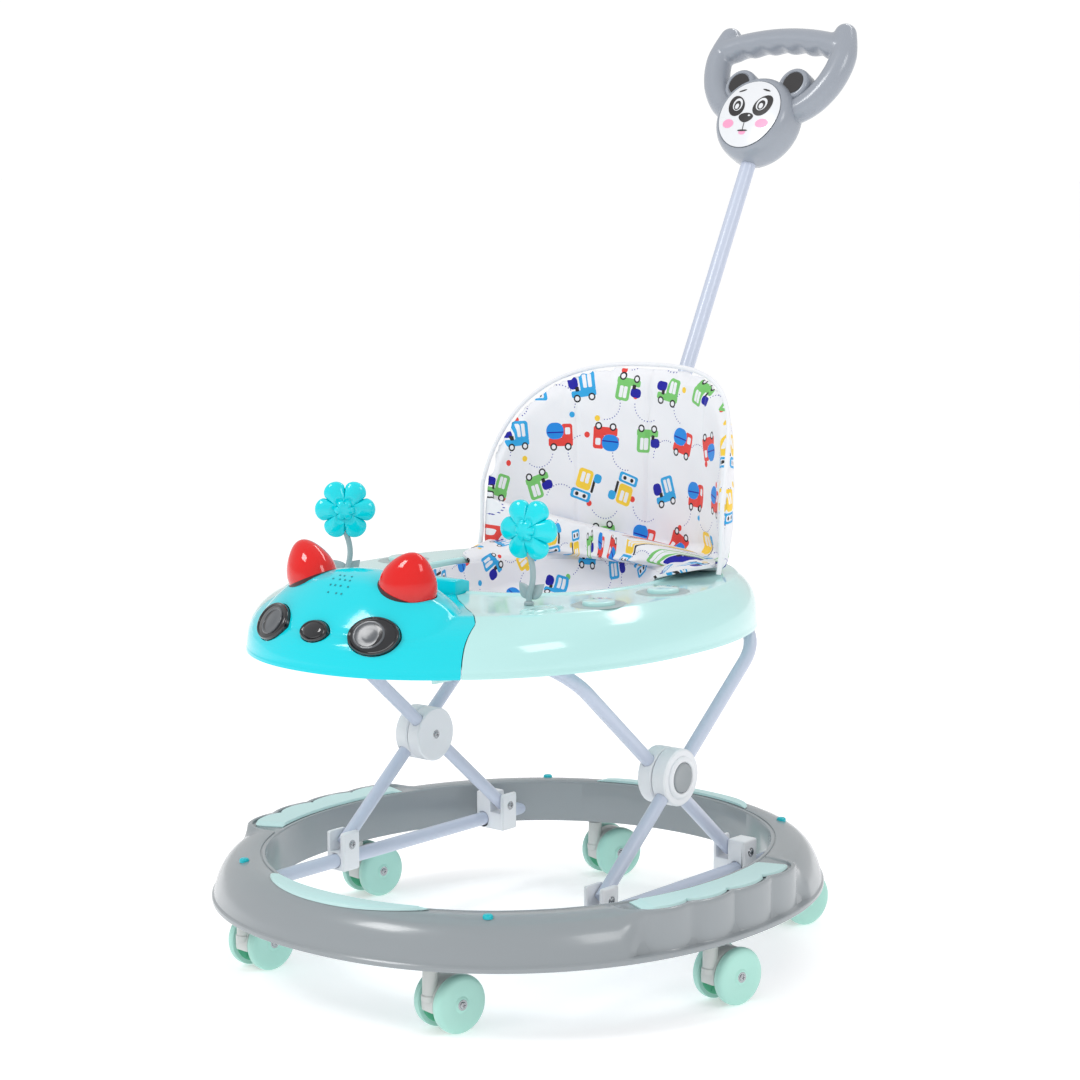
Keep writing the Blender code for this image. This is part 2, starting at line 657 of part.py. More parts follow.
def flower(name, side):
    x, y = side * FLOWER[0], FLOWER[1]
    foot = Vector((x, y, TRAY_BAND_Z + GAP))
    yaw = math.radians(FLOWER_YAWS[name])
    face = Vector((math.sin(yaw), -math.cos(yaw), 0))
    across = Vector((math.cos(yaw), math.sin(yaw), 0))
    up = Vector((0, 0, 1))
    neck = FLOWER_Z - 0.0265
    collar = foot + up * 0.005
    radii = [0.0048, 0.0036] + [0.003] * 6
    path = [foot, collar]
    for i in range(1, 7):
        rise = (neck - collar.z) * i / 6
        path.append(collar + up * rise + across * 0.004 * math.sin(math.pi * i / 6))
    stem = place("flower_stem_" + name, tube(path, radii, 10), STEM, foot)
    for leaf_side in (-1, 1):
        tip = across * leaf_side * 0.0138 + up * 0.0143
        sizes = ((0.0, 0.15), (0.25, 0.75), (0.55, 1.0), (0.82, 0.7), (1.0, 0.12))
        flat = up.cross(face).normalized() + up * 0.4
        rings = []
        for along, size in sizes:
            centre = collar + tip * along
            rings.append(
                [
                    centre + flat * 0.0058 * size * math.cos(a) + face * 0.0016 * math.sin(a)
                    for a in (2 * math.pi * i / 8 for i in range(8))
                ]
            )
        boolean(stem, place(f"cut_leaf_{name}_{leaf_side}", loft(rings), None, helper=True), "UNION")

    centre = Vector((x, y, FLOWER_Z))
    layers = ((-0.0080, 0.50), (-0.0055, 0.88), (0.0, 1.0), (0.0055, 0.82), (0.0085, 0.42))
    rings = []
    for depth, size in layers:
        ring = []
        for i in range(36):
            turn = 2 * math.pi * i / 36
            reach = (0.0205 + 0.0072 * abs(math.cos(3 * turn)) ** 0.8) * size
            ring.append(centre + face * depth + across * reach * math.cos(turn) + up * reach * math.sin(turn))
        rings.append(ring)
    place("flower_head_" + name, loft(rings), CYAN, foot)


# ---- seat ----


def back_mid(turn, rise):
    """A point of the backrest's middle surface: turn goes round the scoop, rise from its foot (0) to its top."""
    edge = 1 - (abs(turn) / math.radians(84)) ** 2.6
    height = BACK_RISE * edge**0.555
    lean = 0.012 * (rise - 0.3)
    depth = BACK_DEPTH - 0.006 * (1 - rise)
    y = BACK_MID_Y - BACK_DEPTH + depth * math.cos(turn) + min(lean, 0)
    return Vector((BACK_HALF_X * math.sin(turn), y, BACK_LOW_Z + height * rise))


def seat_back():
    turns = [BACK_SPAN * (2 * i / 20 - 1) for i in range(21)]
    rows = [[back_mid(turn, rise / 8) for turn in turns] for rise in range(9)]
    back = place("seat_back", sheet(rows), FABRIC)
    padding = back.modifiers.new("padding", "SOLIDIFY")
    padding.thickness = BACK_THICK
    padding.offset = 0


def seat_sling():
    """The cloth bowl inside the tray's opening, with two leg holes."""
    bowl = (
        (1.0, 0.3880), (0.985, 0.360), (0.95, 0.340), (0.86, 0.3255), (0.68, 0.3165), (0.40, 0.3130),
        (0.12, 0.3122),
    )
    half_x, half_y, power, mid_y = TRAY_OPENING
    rings = []
    for scale, z in reversed(bowl):
        shape = ((half_x - 0.004) * scale, (half_y - 0.004) * scale, power, mid_y)
        rings.append([outline(shape, 2 * math.pi * i / 32) + Vector((0, 0, z)) for i in range(32)])
    for scale, z in bowl:
        shape = ((half_x - 0.0085) * scale, (half_y - 0.0085) * scale, power, mid_y)
        lift = 0.0045 * (1 - smooth(0.7, 1.0, scale))
        rings.append([outline(shape, 2 * math.pi * i / 32) + Vector((0, 0, z + lift)) for i in range(32)])
    sling = place("seat_sling", loft(rings), FABRIC)
    holes = bmesh.new()
    for side in (-1, 1):
        x = side * 0.058
        cylinder((x, -0.030, 0.30), (x, -0.030, 0.345), 0.036, 20, holes)
    boolean(sling, place("cut_leg_holes", holes, None, helper=True))


# ---- push handle ----


def rod_line(z):
    return Vector((0, ROD_Y + math.tan(ROD_LEAN) * (z - ROD_BEND_Z), z))


def push_rod():
    corners = [Vector((0, ROD_Y, ROD_FOOT_Z)), Vector((0, ROD_Y, ROD_BEND_Z)), rod_line(ROD_TOP_Z)]
    path = rounded_path(corners, ROD_BEND_R, 5)
    place("push_rod", tube(path, ROD_R, 16), TUBE, (0, ROD_Y, ROD_FOOT_Z))
    socket = cylinder((0, ROD_Y, PAN_Z[1] + GAP), (0, ROD_Y, 0.418), 0.0148, 20)
    body = place("rod_socket", socket, MINT)
    bore = cylinder((0, ROD_Y, 0.345), (0, ROD_Y, 0.43), ROD_R + GAP, 20)
    boolean(body, place("cut_rod_socket", bore, None, helper=True))


def handle():
    along = Vector((0, math.sin(ROD_LEAN), math.cos(ROD_LEAN)))
    out = Vector((0, -math.cos(ROD_LEAN), math.sin(ROD_LEAN)))
    across = Vector((1, 0, 0))
    foot = rod_line(PUCK_FOOT_Z)

    def at(x, s, n=0.0):
        return foot + across * x + along * s + out * n

    def puck(grow):
        middle = at(0, PUCK_MID_S)
        layers = ((-0.021, 0.78), (-0.016, 0.94), (-0.006, 1.0), (0.012, 1.0), (0.021, 0.94), (0.026, 0.84))
        rings = []
        for depth, size in layers:
            depth += math.copysign(grow, depth)
            wide, tall = PUCK_HALF_X * size + grow, PUCK_HALF_S * size + grow
            rings.append(
                [
                    middle + out * depth + across * wide * math.cos(a) + along * tall * math.sin(a)
                    for a in (2 * math.pi * i / 28 for i in range(28))
                ]
            )
        return loft(rings)

    head_piece = place("panda_head", puck(0), GREY, foot)
    for side in (-1, 1):
        back, front = (at(side * PUCK_EAR_X, PUCK_EAR_S, depth) for depth in (-0.012, 0.014))
        ear = cylinder(back, front, PUCK_EAR_R, 18)
        boolean(head_piece, place(f"cut_panda_ear_{side}", ear, None, helper=True), "UNION")
    bore = cylinder(at(0, -0.02), at(0, 0.0315), ROD_R + GAP, 16)
    boolean(head_piece, place("cut_panda_bore", bore, None, helper=True))

    corners = [(-0.0755, 0.166), (-0.0835, 0.140), (-0.0815, 0.110), (-0.0660, 0.083), (-0.030, 0.062)]
    corners += [(-x, s) for x, s in reversed(corners)]
    radii = [0.0115, 0.0145, 0.0150, 0.0150, 0.0140]
    radii += radii[::-1]
    grip = place("handle_grip", tube([at(x, s) for x, s in corners], radii, 14), GREY, foot)
    shares = [i / 4 - 1 for i in range(9)]
    bar = [at(GRIP_HALF_X * share, GRIP_BAR_S + 0.010 * (1 - share * share)) for share in shares]
    boolean(grip, place("cut_grip_bar", tube(bar, GRIP_BAR_R, 14), None, helper=True), "UNION")
    boolean(grip, place("cut_grip_puck", puck(GAP), None, helper=True))
    ears = bmesh.new()
    for side in (-1, 1):
        back, front = (at(side * PUCK_EAR_X, PUCK_EAR_S, depth) for depth in (-0.030, 0.030))
        cylinder(back, front, PUCK_EAR_R + 0.0005, 18, ears)
    boolean(grip, place("cut_grip_ears", ears, None, helper=True), solver="MANIFOLD")


clear_scene()
walker = bpy.data.objects.new("walker", None)
bpy.context.scene.collection.objects.link(walker)
walker.location = (0, RING_Y, 0)

GREY = material("grey_plastic", (0.66, 0.68, 0.70), 0.3)
MINT = material("mint_gloss", (0.74, 0.92, 0.89), 0.15)
MINT_SOFT = material("mint_satin", (0.72, 0.89, 0.86), 0.4)
MINT_WHEEL = material("mint_wheel", (0.67, 0.88, 0.80), 0.35)
HOOD = material("hood_grey", (0.82, 0.84, 0.83), 0.4)
TEAL = material("teal_plug", (0.0, 0.74, 0.78), 0.3)
TUBE = material("tube_paint", (0.80, 0.84, 0.91), 0.3)
WHITE = material("white_plastic", (0.92, 0.92, 0.94), 0.35)
CYAN = material("cyan_gloss", (0.06, 0.88, 0.92), 0.15)
RED = material("red_clear", (0.88, 0.12, 0.10), 0.1, alpha=0.8)
BLACK = material("black_gloss", (0.10, 0.10, 0.12), 0.2)
STEM = material("stem_grey", (0.63, 0.70, 0.71), 0.4)
FABRIC = material("print_fabric", (0.93, 0.93, 0.94), 0.9)

base_ring()
pads()
plugs()
for number, caster_name in enumerate(CASTER_NAMES):
    caster(number, caster_name)
base_tubes()
scissor()
tray_top()
head()
toy_panel()
tray_pan()
tray_discs()
for flower_side, flower_sign in (("left", -1), ("right", 1)):
    flower(flower_side, flower_sign)
seat_back()
seat_sling()
push_rod()
handle()
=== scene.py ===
import json
import math

import bmesh
import bpy
from mathutils import Matrix, Vector


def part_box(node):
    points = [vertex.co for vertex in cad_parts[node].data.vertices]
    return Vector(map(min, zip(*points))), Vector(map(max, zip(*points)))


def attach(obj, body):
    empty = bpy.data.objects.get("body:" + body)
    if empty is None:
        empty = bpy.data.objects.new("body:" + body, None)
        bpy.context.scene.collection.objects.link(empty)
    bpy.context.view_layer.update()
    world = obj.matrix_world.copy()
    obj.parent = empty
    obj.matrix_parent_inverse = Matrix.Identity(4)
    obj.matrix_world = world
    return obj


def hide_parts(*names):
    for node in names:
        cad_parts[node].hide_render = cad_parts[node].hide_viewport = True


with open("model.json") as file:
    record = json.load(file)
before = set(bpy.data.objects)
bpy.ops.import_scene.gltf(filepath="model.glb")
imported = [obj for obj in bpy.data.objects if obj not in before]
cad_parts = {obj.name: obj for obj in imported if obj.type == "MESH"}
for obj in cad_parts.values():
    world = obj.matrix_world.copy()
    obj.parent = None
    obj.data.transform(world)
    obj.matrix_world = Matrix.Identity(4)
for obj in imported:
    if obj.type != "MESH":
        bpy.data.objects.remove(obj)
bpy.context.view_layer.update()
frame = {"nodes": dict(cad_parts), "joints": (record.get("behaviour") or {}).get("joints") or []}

# ---------------------------------------------------------------- floor, light and camera
# A pale studio sweep, one large softbox above the left shoulder, a second across from it,
# and a long strip whose reflection runs along the glossy mouldings.

MIDDLE_Y = -0.0808  # the middle of the base ring

scene = bpy.context.scene
scene.view_settings.view_transform = "Standard"


def tone(red, green, blue):
    """A finish's colour on a screen, 0 to 255, as the shader's linear numbers."""
    return tuple(((c / 255 + 0.055) / 1.055) ** 2.4 for c in (red, green, blue)) + (1,)


scene.world = bpy.data.worlds.new("studio")
scene.world.use_nodes = True
sky = scene.world.node_tree.nodes
sky["Background"].inputs["Color"].default_value = tone(255, 255, 255)
seen = sky.new("ShaderNodeLightPath")
glow = sky.new("ShaderNodeMapRange")
glow.inputs["To Min"].default_value, glow.inputs["To Max"].default_value = 0.70, 1.04
scene.world.node_tree.links.new(seen.outputs["Is Camera Ray"], glow.inputs["Value"])
scene.world.node_tree.links.new(glow.outputs["Result"], sky["Background"].inputs["Strength"])

bpy.ops.mesh.primitive_plane_add(size=400)
floor = bpy.context.object
floor.name = "studio_floor"
paper = bpy.data.materials.new("white_paper")
paper.use_nodes = True
paper.node_tree.nodes["Principled BSDF"].inputs["Base Color"].default_value = (0.86, 0.86, 0.87, 1)
paper.node_tree.nodes["Principled BSDF"].inputs["Roughness"].default_value = 0.7
paper.node_tree.nodes["Principled BSDF"].inputs["Emission Color"].default_value = (1, 1, 1, 1)
paper.node_tree.nodes["Principled BSDF"].inputs["Emission Strength"].default_value = 0.40
floor.data.materials.append(paper)

for lamp, place, size, watts in (
    ("key_softbox", (-1.0, -2.4, 3.0), (1.1, 1.1), 40),
    ("fill_softbox", (2.9, -0.4, 2.2), (1.0, 1.0), 14),
    ("strip_light", (0.3, 1.9, 2.8), (2.4, 0.4), 16),
):
    bpy.ops.object.light_add(type="AREA", location=place)
    light = bpy.context.object
    light.name = lamp
    light.data.shape = "RECTANGLE"
    light.data.size, light.data.size_y = size
    light.data.energy = watts
    aim = Vector((0, -0.05, 0.4)) - Vector(place)
    light.rotation_euler = aim.to_track_quat("-Z", "Y").to_euler()

CAMERA_AT = Vector((1.7177, -2.1476, 0.8006))
CAMERA_AIM = Vector((0.0, -0.0497, 0.4239))
bpy.ops.object.camera_add(location=CAMERA_AT)
camera = bpy.context.object
camera.rotation_euler = (CAMERA_AIM - CAMERA_AT).to_track_quat("-Z", "Y").to_euler()
camera.data.sensor_width = 36
camera.data.lens = 88.79
scene.camera = camera


# ---------------------------------------------------------------- base ring
# The oval bumper: one blow-moulded ring of glossy grey polypropylene, open below. It has a lip
# round its foot, a shallow groove inside its crown, and flutes under the two scalloped side pads.

def plastic_grain():
    """Shader group of the moulded pieces: faint ripple of the skin, tiny scuffs and a slow drift of shade."""
    group = bpy.data.node_groups.new("moulded_grain", "ShaderNodeTree")
    for name, kind in (("Color", "NodeSocketColor"), ("Roughness", "NodeSocketFloat"), ("Ripple", "NodeSocketFloat")):
        group.interface.new_socket(name, in_out="INPUT", socket_type=kind)
    for name, kind in (("Color", "NodeSocketColor"), ("Roughness", "NodeSocketFloat"), ("Normal", "NodeSocketVector")):
        group.interface.new_socket(name, in_out="OUTPUT", socket_type=kind)
    nodes, links = group.nodes, group.links
    given, made = nodes.new("NodeGroupInput"), nodes.new("NodeGroupOutput")
    place = nodes.new("ShaderNodeTexCoord")

    def noise(scale, detail):
        node = nodes.new("ShaderNodeTexNoise")
        node.inputs["Scale"].default_value = scale
        node.inputs["Detail"].default_value = detail
        links.new(place.outputs["Object"], node.inputs["Vector"])
        return node.outputs["Fac"]

    drift = nodes.new("ShaderNodeMapRange")
    drift.inputs["To Min"].default_value, drift.inputs["To Max"].default_value = 0.994, 1.006
    links.new(noise(7, 2), drift.inputs["Value"])
    shade = nodes.new("ShaderNodeHueSaturation")
    links.new(given.outputs["Color"], shade.inputs["Color"])
    links.new(drift.outputs["Result"], shade.inputs["Value"])
    links.new(shade.outputs["Color"], made.inputs["Color"])

    scuff = nodes.new("ShaderNodeMapRange")
    scuff.inputs["From Min"].default_value, scuff.inputs["From Max"].default_value = 0.45, 0.75
    scuff.inputs["To Min"].default_value, scuff.inputs["To Max"].default_value = -0.01, 0.02
    links.new(noise(60, 3), scuff.inputs["Value"])
    rough = nodes.new("ShaderNodeMath")
    links.new(given.outputs["Roughness"], rough.inputs[0])
    links.new(scuff.outputs["Result"], rough.inputs[1])
    links.new(rough.outputs["Value"], made.inputs["Roughness"])

    bump = nodes.new("ShaderNodeBump")
    bump.inputs["Distance"].default_value = 0.0004
    links.new(given.outputs["Ripple"], bump.inputs["Strength"])
    links.new(noise(420, 3), bump.inputs["Height"])
    links.new(bump.outputs["Normal"], made.inputs["Normal"])
    return group


GRAIN = plastic_grain()


def plastic(name, colour, roughness=0.3, ripple=0.12, coat=0.0):
    """A moulded plastic: its colour, how satin it is, how rippled its skin, and its clear gloss."""
    made = bpy.data.materials.new(name)
    made.use_nodes = True
    shader = made.node_tree.nodes["Principled BSDF"]
    grain = made.node_tree.nodes.new("ShaderNodeGroup")
    grain.node_tree = GRAIN
    grain.inputs["Color"].default_value = colour
    grain.inputs["Roughness"].default_value = roughness
    grain.inputs["Ripple"].default_value = ripple
    link = made.node_tree.links.new
    link(grain.outputs["Color"], shader.inputs["Base Color"])
    link(grain.outputs["Roughness"], shader.inputs["Roughness"])
    link(grain.outputs["Normal"], shader.inputs["Normal"])
    shader.inputs["Coat Weight"].default_value = coat
    shader.inputs["Coat Roughness"].default_value = 0.08
    return made


def outline(shape, turn):
    """A point of a superellipse given as half width, half length, power and middle."""
    half_x, half_y, power, mid_y = shape
    x, y = math.cos(turn), math.sin(turn)
    return Vector((
        half_x * math.copysign(abs(x) ** (2 / power), x),
        MIDDLE_Y + mid_y + half_y * math.copysign(abs(y) ** (2 / power), y), 0))


def between(inner, outer, turn, reach, z):
    point = outline(inner, turn).lerp(outline(outer, turn), reach)
    point.z = z
    return point


def ease(low, high, value):
    part = min(max((value - low) / (high - low), 0), 1)
    return part * part * (3 - 2 * part)


def along_knots(knots, x):
    for (x0, y0), (x1, y1) in zip(knots, knots[1:]):
        if x <= x1:
            return y0 + (y1 - y0) * (x - x0) / (x1 - x0)
    return knots[-1][1]


def pick(piece):
    bpy.ops.object.select_all(action="DESELECT")
    piece.select_set(True)
    bpy.context.view_layer.objects.active = piece


def step_of(profile, v):
    """The profile's own point at this share of its list."""
    return profile[round(v * (len(profile) - 1))]


def tidy_mesh(piece, merge=1e-6, sharp=35):
    """Merges doubles, turns the faces outward and shades the piece smooth except at its edges."""
    pick(piece)
    bpy.ops.object.mode_set(mode="EDIT")
    bpy.ops.mesh.select_all(action="SELECT")
    bpy.ops.mesh.remove_doubles(threshold=merge)
    bpy.ops.mesh.normals_make_consistent(inside=False)
    bpy.ops.object.mode_set(mode="OBJECT")
    bpy.ops.object.transform_apply(location=True, rotation=True, scale=True)
    bpy.ops.object.shade_smooth_by_angle(angle=math.radians(sharp))
    return piece


def formed(name, around, across, where, sharp=35):
    """A sheet of around by across quads pressed to where(u, v), its meeting edges welded."""
    bpy.ops.object.select_all(action="DESELECT")
    bpy.ops.mesh.primitive_grid_add(x_subdivisions=around, y_subdivisions=across, size=2)
    piece = bpy.context.object
    piece.name = piece.data.name = name
    for vertex in piece.data.vertices:
        vertex.co = where((vertex.co.x + 1) / 2, (vertex.co.y + 1) / 2)
    return tidy_mesh(piece, sharp=sharp)


def apply_modifier(piece, kind, **settings):
    pick(piece)
    step = piece.modifiers.new(kind.lower(), kind)
    for key, value in settings.items():
        setattr(step, key, value)
    bpy.ops.object.modifier_apply(modifier=step.name)


def fit(piece, look, body, slot, *nodes):
    """Gives a finished piece its material and body, and hides the CAD nodes it stands for."""
    piece.data.materials.clear()
    piece.data.materials.append(look)
    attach(piece, body)
    if nodes:
        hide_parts(*nodes)
    return piece


RING_OUTER = (0.298, 0.322, 2.15, 0.0)
RING_INNER = (0.2445, 0.2728, 2.08, 0.0)
PAD_MID, PAD_HALF, PAD_LOBES = math.radians(-3.75), math.radians(20.6), 4
GREY = plastic("glossy_grey_polypropylene", tone(148, 154, 158), 0.24, 0.1, 0.25)


def side_part(turn):
    """Where round the nearer side pad this is: -1 and 1 at its ends."""
    turn = (turn + math.pi) % (2 * math.pi) - math.pi
    mirrored = turn if abs(turn) < math.pi / 2 else math.copysign(math.pi, turn) - turn
    return (mirrored - PAD_MID) / PAD_HALF


def lobe(part):
    return abs(math.sin(math.pi * (max(-1, min(1, part)) + 1) / 2 * PAD_LOBES)) ** 0.55


def ring_profile(turn):
    """The ring's section here, once round: foot, lip, skirt, crown, groove, inner wall, underside."""
    part = side_part(turn)
    share = 1 - ease(1.0, 1.22, abs(part))
    edge = 0.62 + 0.16 * lobe(part)
    wall = 0.785 + 0.110 * lobe(part)
    foot = [(0.90, 0.0690), (0.985, 0.0690), (0.998, 0.0697), (1.0, 0.0712), (0.998, 0.0732), (0.985, 0.0742)]
    plain = [
        (0.962, 0.0752), (0.950, 0.0772), (0.930, 0.0822), (0.905, 0.0868), (0.880, 0.0905), (0.845, 0.0945),
        (0.805, 0.0986), (0.760, 0.1022), (0.700, 0.1058), (0.640, 0.1086), (0.580, 0.1106), (0.500, 0.1124),
        (0.420, 0.1137), (0.350, 0.1143), (0.120, 0.1145), (0.105, 0.1141), (0.098, 0.1131), (0.080, 0.1131),
        (0.072, 0.1141), (0.055, 0.1145),
    ]
    fluted = [
        (wall + 0.030, 0.0750), (wall + 0.016, 0.0756), (wall + 0.012, 0.0772), (wall + 0.010, 0.0830),
        (wall + 0.008, 0.0890), (wall + 0.006, 0.0950), (wall + 0.004, 0.1010), (wall + 0.002, 0.1060),
        (wall, 0.1105), (wall - 0.005, 0.1134), (wall - 0.016, 0.1150), (wall - 0.034, 0.1156),
        (edge + 0.052, 0.1156), (edge + 0.036, 0.1150), (edge + 0.027, 0.1128), (edge + 0.010, 0.1126),
        (0.098, 0.1130), (0.080, 0.1130), (0.072, 0.1140), (0.055, 0.1143),
    ]
    skin = [(a + (c - a) * share, b + (d - b) * share) for (a, b), (c, d) in zip(plain, fluted)]
    inside = [
        (0.015, 0.1141), (0.0, 0.1126), (0.0, 0.0900), (0.0, 0.0700), (0.010, 0.0690), (0.055, 0.0690), (0.060, 0.0700),
        (0.060, 0.1080), (0.50, 0.1062), (0.66, 0.1000), (0.74, 0.0940), (0.80, 0.0860), (0.86, 0.0760), (0.90, 0.0690),
    ]
    return foot + skin + inside


RING_ROWS = 400
RING_SECTIONS = [ring_profile(2 * math.pi * i / RING_ROWS) for i in range(RING_ROWS)]


def on_ring(u, v):
    reach, z = step_of(RING_SECTIONS[round(u * RING_ROWS) % RING_ROWS], v)
    return between(RING_INNER, RING_OUTER, 2 * math.pi * u, reach, z)


ring = formed("bumper_ring", RING_ROWS, len(RING_SECTIONS[0]) - 1, on_ring, 28)
fit(ring, GREY, "base", "grey_plastic", "base_ring")


# ---------------------------------------------------------------- pads and plugs
# Mint cover plates snapped into the crown: a crescent at the front and one at the rear, and a
# scalloped plate at each side. The bolts between them hide under small domed teal plugs.

MINT_SATIN = plastic("satin_mint_polypropylene", tone(196, 229, 228), 0.34, 0.1)
TEAL = plastic("teal_plug_plastic", tone(0, 188, 200), 0.28, 0.05)


def pad_plate(name, middle, half, edge_of, steps, height_of):
    """A plate lying on the crown, its rim rolled down all round."""
    def where(u, v):
        part = 2 * u - 1
        rim = min(1.0, 22 * min(v, 1 - v), 10 * min(u, 1 - u) if abs(part) > 0.9 else 1.0)
        reach = 0.11 + (max(edge_of(part), 0.13) - 0.11) * v
        turn = middle + half * part
        return between(RING_INNER, RING_OUTER, turn, reach, height_of(turn, reach) - 0.0022 * (1 - rim) ** 2)
    plate = formed(name, steps, 24, where, 50)
    apply_modifier(plate, "SOLIDIFY", thickness=0.0018, offset=-1)
    return tidy_mesh(plate, sharp=50)


def crown(turn, reach):
    return along_knots(sorted(ring_profile(turn)[6:22]), reach)


CRESCENT = math.radians(23)
for side, turn in (("front", -math.pi / 2), ("rear", math.pi / 2)):
    plate = pad_plate(f"{side}_crescent", turn, CRESCENT, lambda p: 0.12 + 0.42 * (1 - p * p) ** 0.6, 72,
                      lambda t, r: crown(t, r) + 0.0028)
    fit(plate, MINT_SATIN, "base", "mint_satin", f"{side}_pad")
for side, turn, half in (("right", PAD_MID, PAD_HALF), ("left", math.pi - PAD_MID, -PAD_HALF)):
    plate = pad_plate(f"{side}_scalloped_plate", turn, half * 0.975, lambda p: 0.605 + 0.16 * lobe(p), 128,
                      lambda t, r: 0.1162)
    fit(plate, MINT_SATIN, "base", "mint_satin", f"{side}_pad")


def middle_of(node):
    low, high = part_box(node)
    return (low + high) / 2


def copied(source, name, move):
    """A copy of a modelled piece with a mesh of its own, moved to its place."""
    twin = source.copy()
    twin.data = source.data.copy()
    twin.name = twin.data.name = name
    scene.collection.objects.link(twin)
    twin.data.transform(move)
    return twin


def bevelled_round(name, radius, depth, width, segments=3, sides=40):
    """A round blank standing on the origin, its top edge rolled over."""
    bpy.ops.object.select_all(action="DESELECT")
    bpy.ops.mesh.primitive_cylinder_add(vertices=sides, radius=radius, depth=depth, location=(0, 0, depth / 2))
    blank = bpy.context.object
    blank.name = name
    bpy.ops.object.transform_apply(location=True)
    bpy.ops.object.mode_set(mode="EDIT")
    bpy.ops.mesh.select_all(action="DESELECT")
    bpy.ops.object.mode_set(mode="OBJECT")
    for edge in blank.data.edges:
        edge.select = all(blank.data.vertices[i].co.z > depth * 0.99 for i in edge.vertices)
    bpy.ops.object.mode_set(mode="EDIT")
    bpy.ops.mesh.bevel(offset=width, segments=segments)
    bpy.ops.object.mode_set(mode="OBJECT")
    return tidy_mesh(blank)


plug_blank = bevelled_round("plug", 0.0050, 0.0042, 0.0022, 4, 28)
for corner in ("front_left", "front_right", "rear_left", "rear_right"):
    spot = middle_of("plug_" + corner)
    seat = Matrix.Translation((spot.x, spot.y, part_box("plug_" + corner)[0].z + 0.0002))
    plug = copied(plug_blank, f"{corner}_plug", seat)
    fit(plug, TEAL, "base", "teal_plug", "plug_" + corner)
bpy.data.objects.remove(plug_blank)


# ---------------------------------------------------------------- casters
# Six swivel casters. A pale nylon hood covers the top of two mint discs that turn on one axle,
# each held by a cross-head screw and washer. A stem goes up into the ring.

WHEEL_MINT = plastic("mint_wheel_plastic", tone(172, 223, 211), 0.3, 0.12, 0.15)
WHEEL_DARK = plastic("inner_wheel_green", tone(92, 190, 152), 0.4, 0.12)
HOOD = plastic("pale_caster_nylon", tone(206, 210, 208), 0.32, 0.1)
STEEL = plastic("zinc_screw", tone(176, 178, 182), 0.25, 0.1)
STEEL.node_tree.nodes["Principled BSDF"].inputs["Metallic"].default_value = 1.0
WHEEL_R, DISC_IN, DISC_OUT = 0.0285, 0.0112, 0.0212


def turned(name, profile, sides=64, sharp=35):
    """A piece turned about X from (distance, radius) pairs."""
    def where(u, v):
        x, r = step_of(profile, v)
        return Vector((x, r * math.cos(2 * math.pi * u), r * math.sin(2 * math.pi * u)))
    return formed(name, sides, len(profile) - 1, where, sharp)


def joined(name, *parts):
    bpy.ops.object.select_all(action="DESELECT")
    for part in parts:
        part.select_set(True)
    bpy.context.view_layer.objects.active = parts[0]
    bpy.ops.object.join()
    parts[0].name = parts[0].data.name = name
    return parts[0]


def cross_screw(radius=0.0036):
    """A pan-head screw on a washer, facing +Z, with a cross recess cut in it."""
    head = bevelled_round("screw_head", radius, radius * 0.55, radius * 0.4, 3, 24)
    for width, length in ((0.22, 1.1), (1.1, 0.22)):
        bpy.ops.mesh.primitive_cube_add(size=1, location=(0, 0, radius * 0.55))
        slot = bpy.context.object
        slot.dimensions = (radius * width, radius * length, radius * 0.55)
        bpy.ops.object.transform_apply(location=True, rotation=True, scale=True)
        apply_modifier(head, "BOOLEAN", object=slot, operation="DIFFERENCE", solver="EXACT")
        bpy.data.objects.remove(slot)
    washer = bevelled_round("washer", radius * 1.45, radius * 0.16, radius * 0.1, 1, 28)
    return joined("screw", head, washer)


disc = [
    (DISC_IN, 0.0), (DISC_IN, 0.0255), (DISC_IN + 0.0006, 0.0278), (DISC_IN + 0.0018, WHEEL_R), (0.0165, WHEEL_R),
    (0.0182, 0.0281), (0.0196, 0.0271), (0.0206, 0.0255), (0.0211, 0.0236), (DISC_OUT, 0.0215), (0.0210, 0.0120),
    (0.0204, 0.0095), (0.0202, 0.0080), (0.0209, 0.0068), (0.0213, 0.0055), (0.0213, 0.0),
]
outer_disc = turned("wheel_disc", disc)
inner = [(0.0102, 0.0), (0.0102, 0.0225), (0.0108, 0.0240), (0.0118, 0.0240), (0.0118, 0.0)]
inner_disc = turned("wheel_web", inner, 48)
spokes = []
for i in range(12):
    bpy.ops.mesh.primitive_cube_add(size=1, location=(0.0101, 0.0150, 0))
    rib = bpy.context.object
    rib.dimensions = (0.0012, 0.0150, 0.0012)
    bpy.ops.object.transform_apply(location=True, scale=True)
    rib.data.transform(Matrix.Rotation(2 * math.pi * i / 12, 4, "X"))
    spokes.append(rib)
web = joined("wheel_web", inner_disc, *spokes)
screw = cross_screw()
to_side = Matrix.Rotation(math.pi / 2, 4, "Y")
screw.data.transform(Matrix.Translation((0.0211, 0, 0)) @ to_side)
turned_about = Matrix.Rotation(math.pi, 4, "Z")
wheel_set = {
    "discs": (joined("discs", outer_disc, copied(outer_disc, "twin", turned_about)), WHEEL_MINT),
    "webs": (joined("webs", web, copied(web, "twin", turned_about)), WHEEL_DARK),
    "axle_screws": (joined("axle_screws", screw, copied(screw, "twin", turned_about)), STEEL),
}
axle = turned("axle", [(-0.0105, 0.0), (-0.0105, 0.0030), (0.0105, 0.0030), (0.0105, 0.0)], 24)
wheel_set["axle"] = (axle, STEEL)

# The hood is modelled once: a half round cover closed at its sides, with its stem and collar.
hood_side = [(0.0099, 0.0), (0.0099, 0.020), (0.0097, 0.0245), (0.0090, 0.0262), (0.0074, 0.0268)]
hood_section = [(-x, r) for x, r in hood_side] + hood_side[::-1]


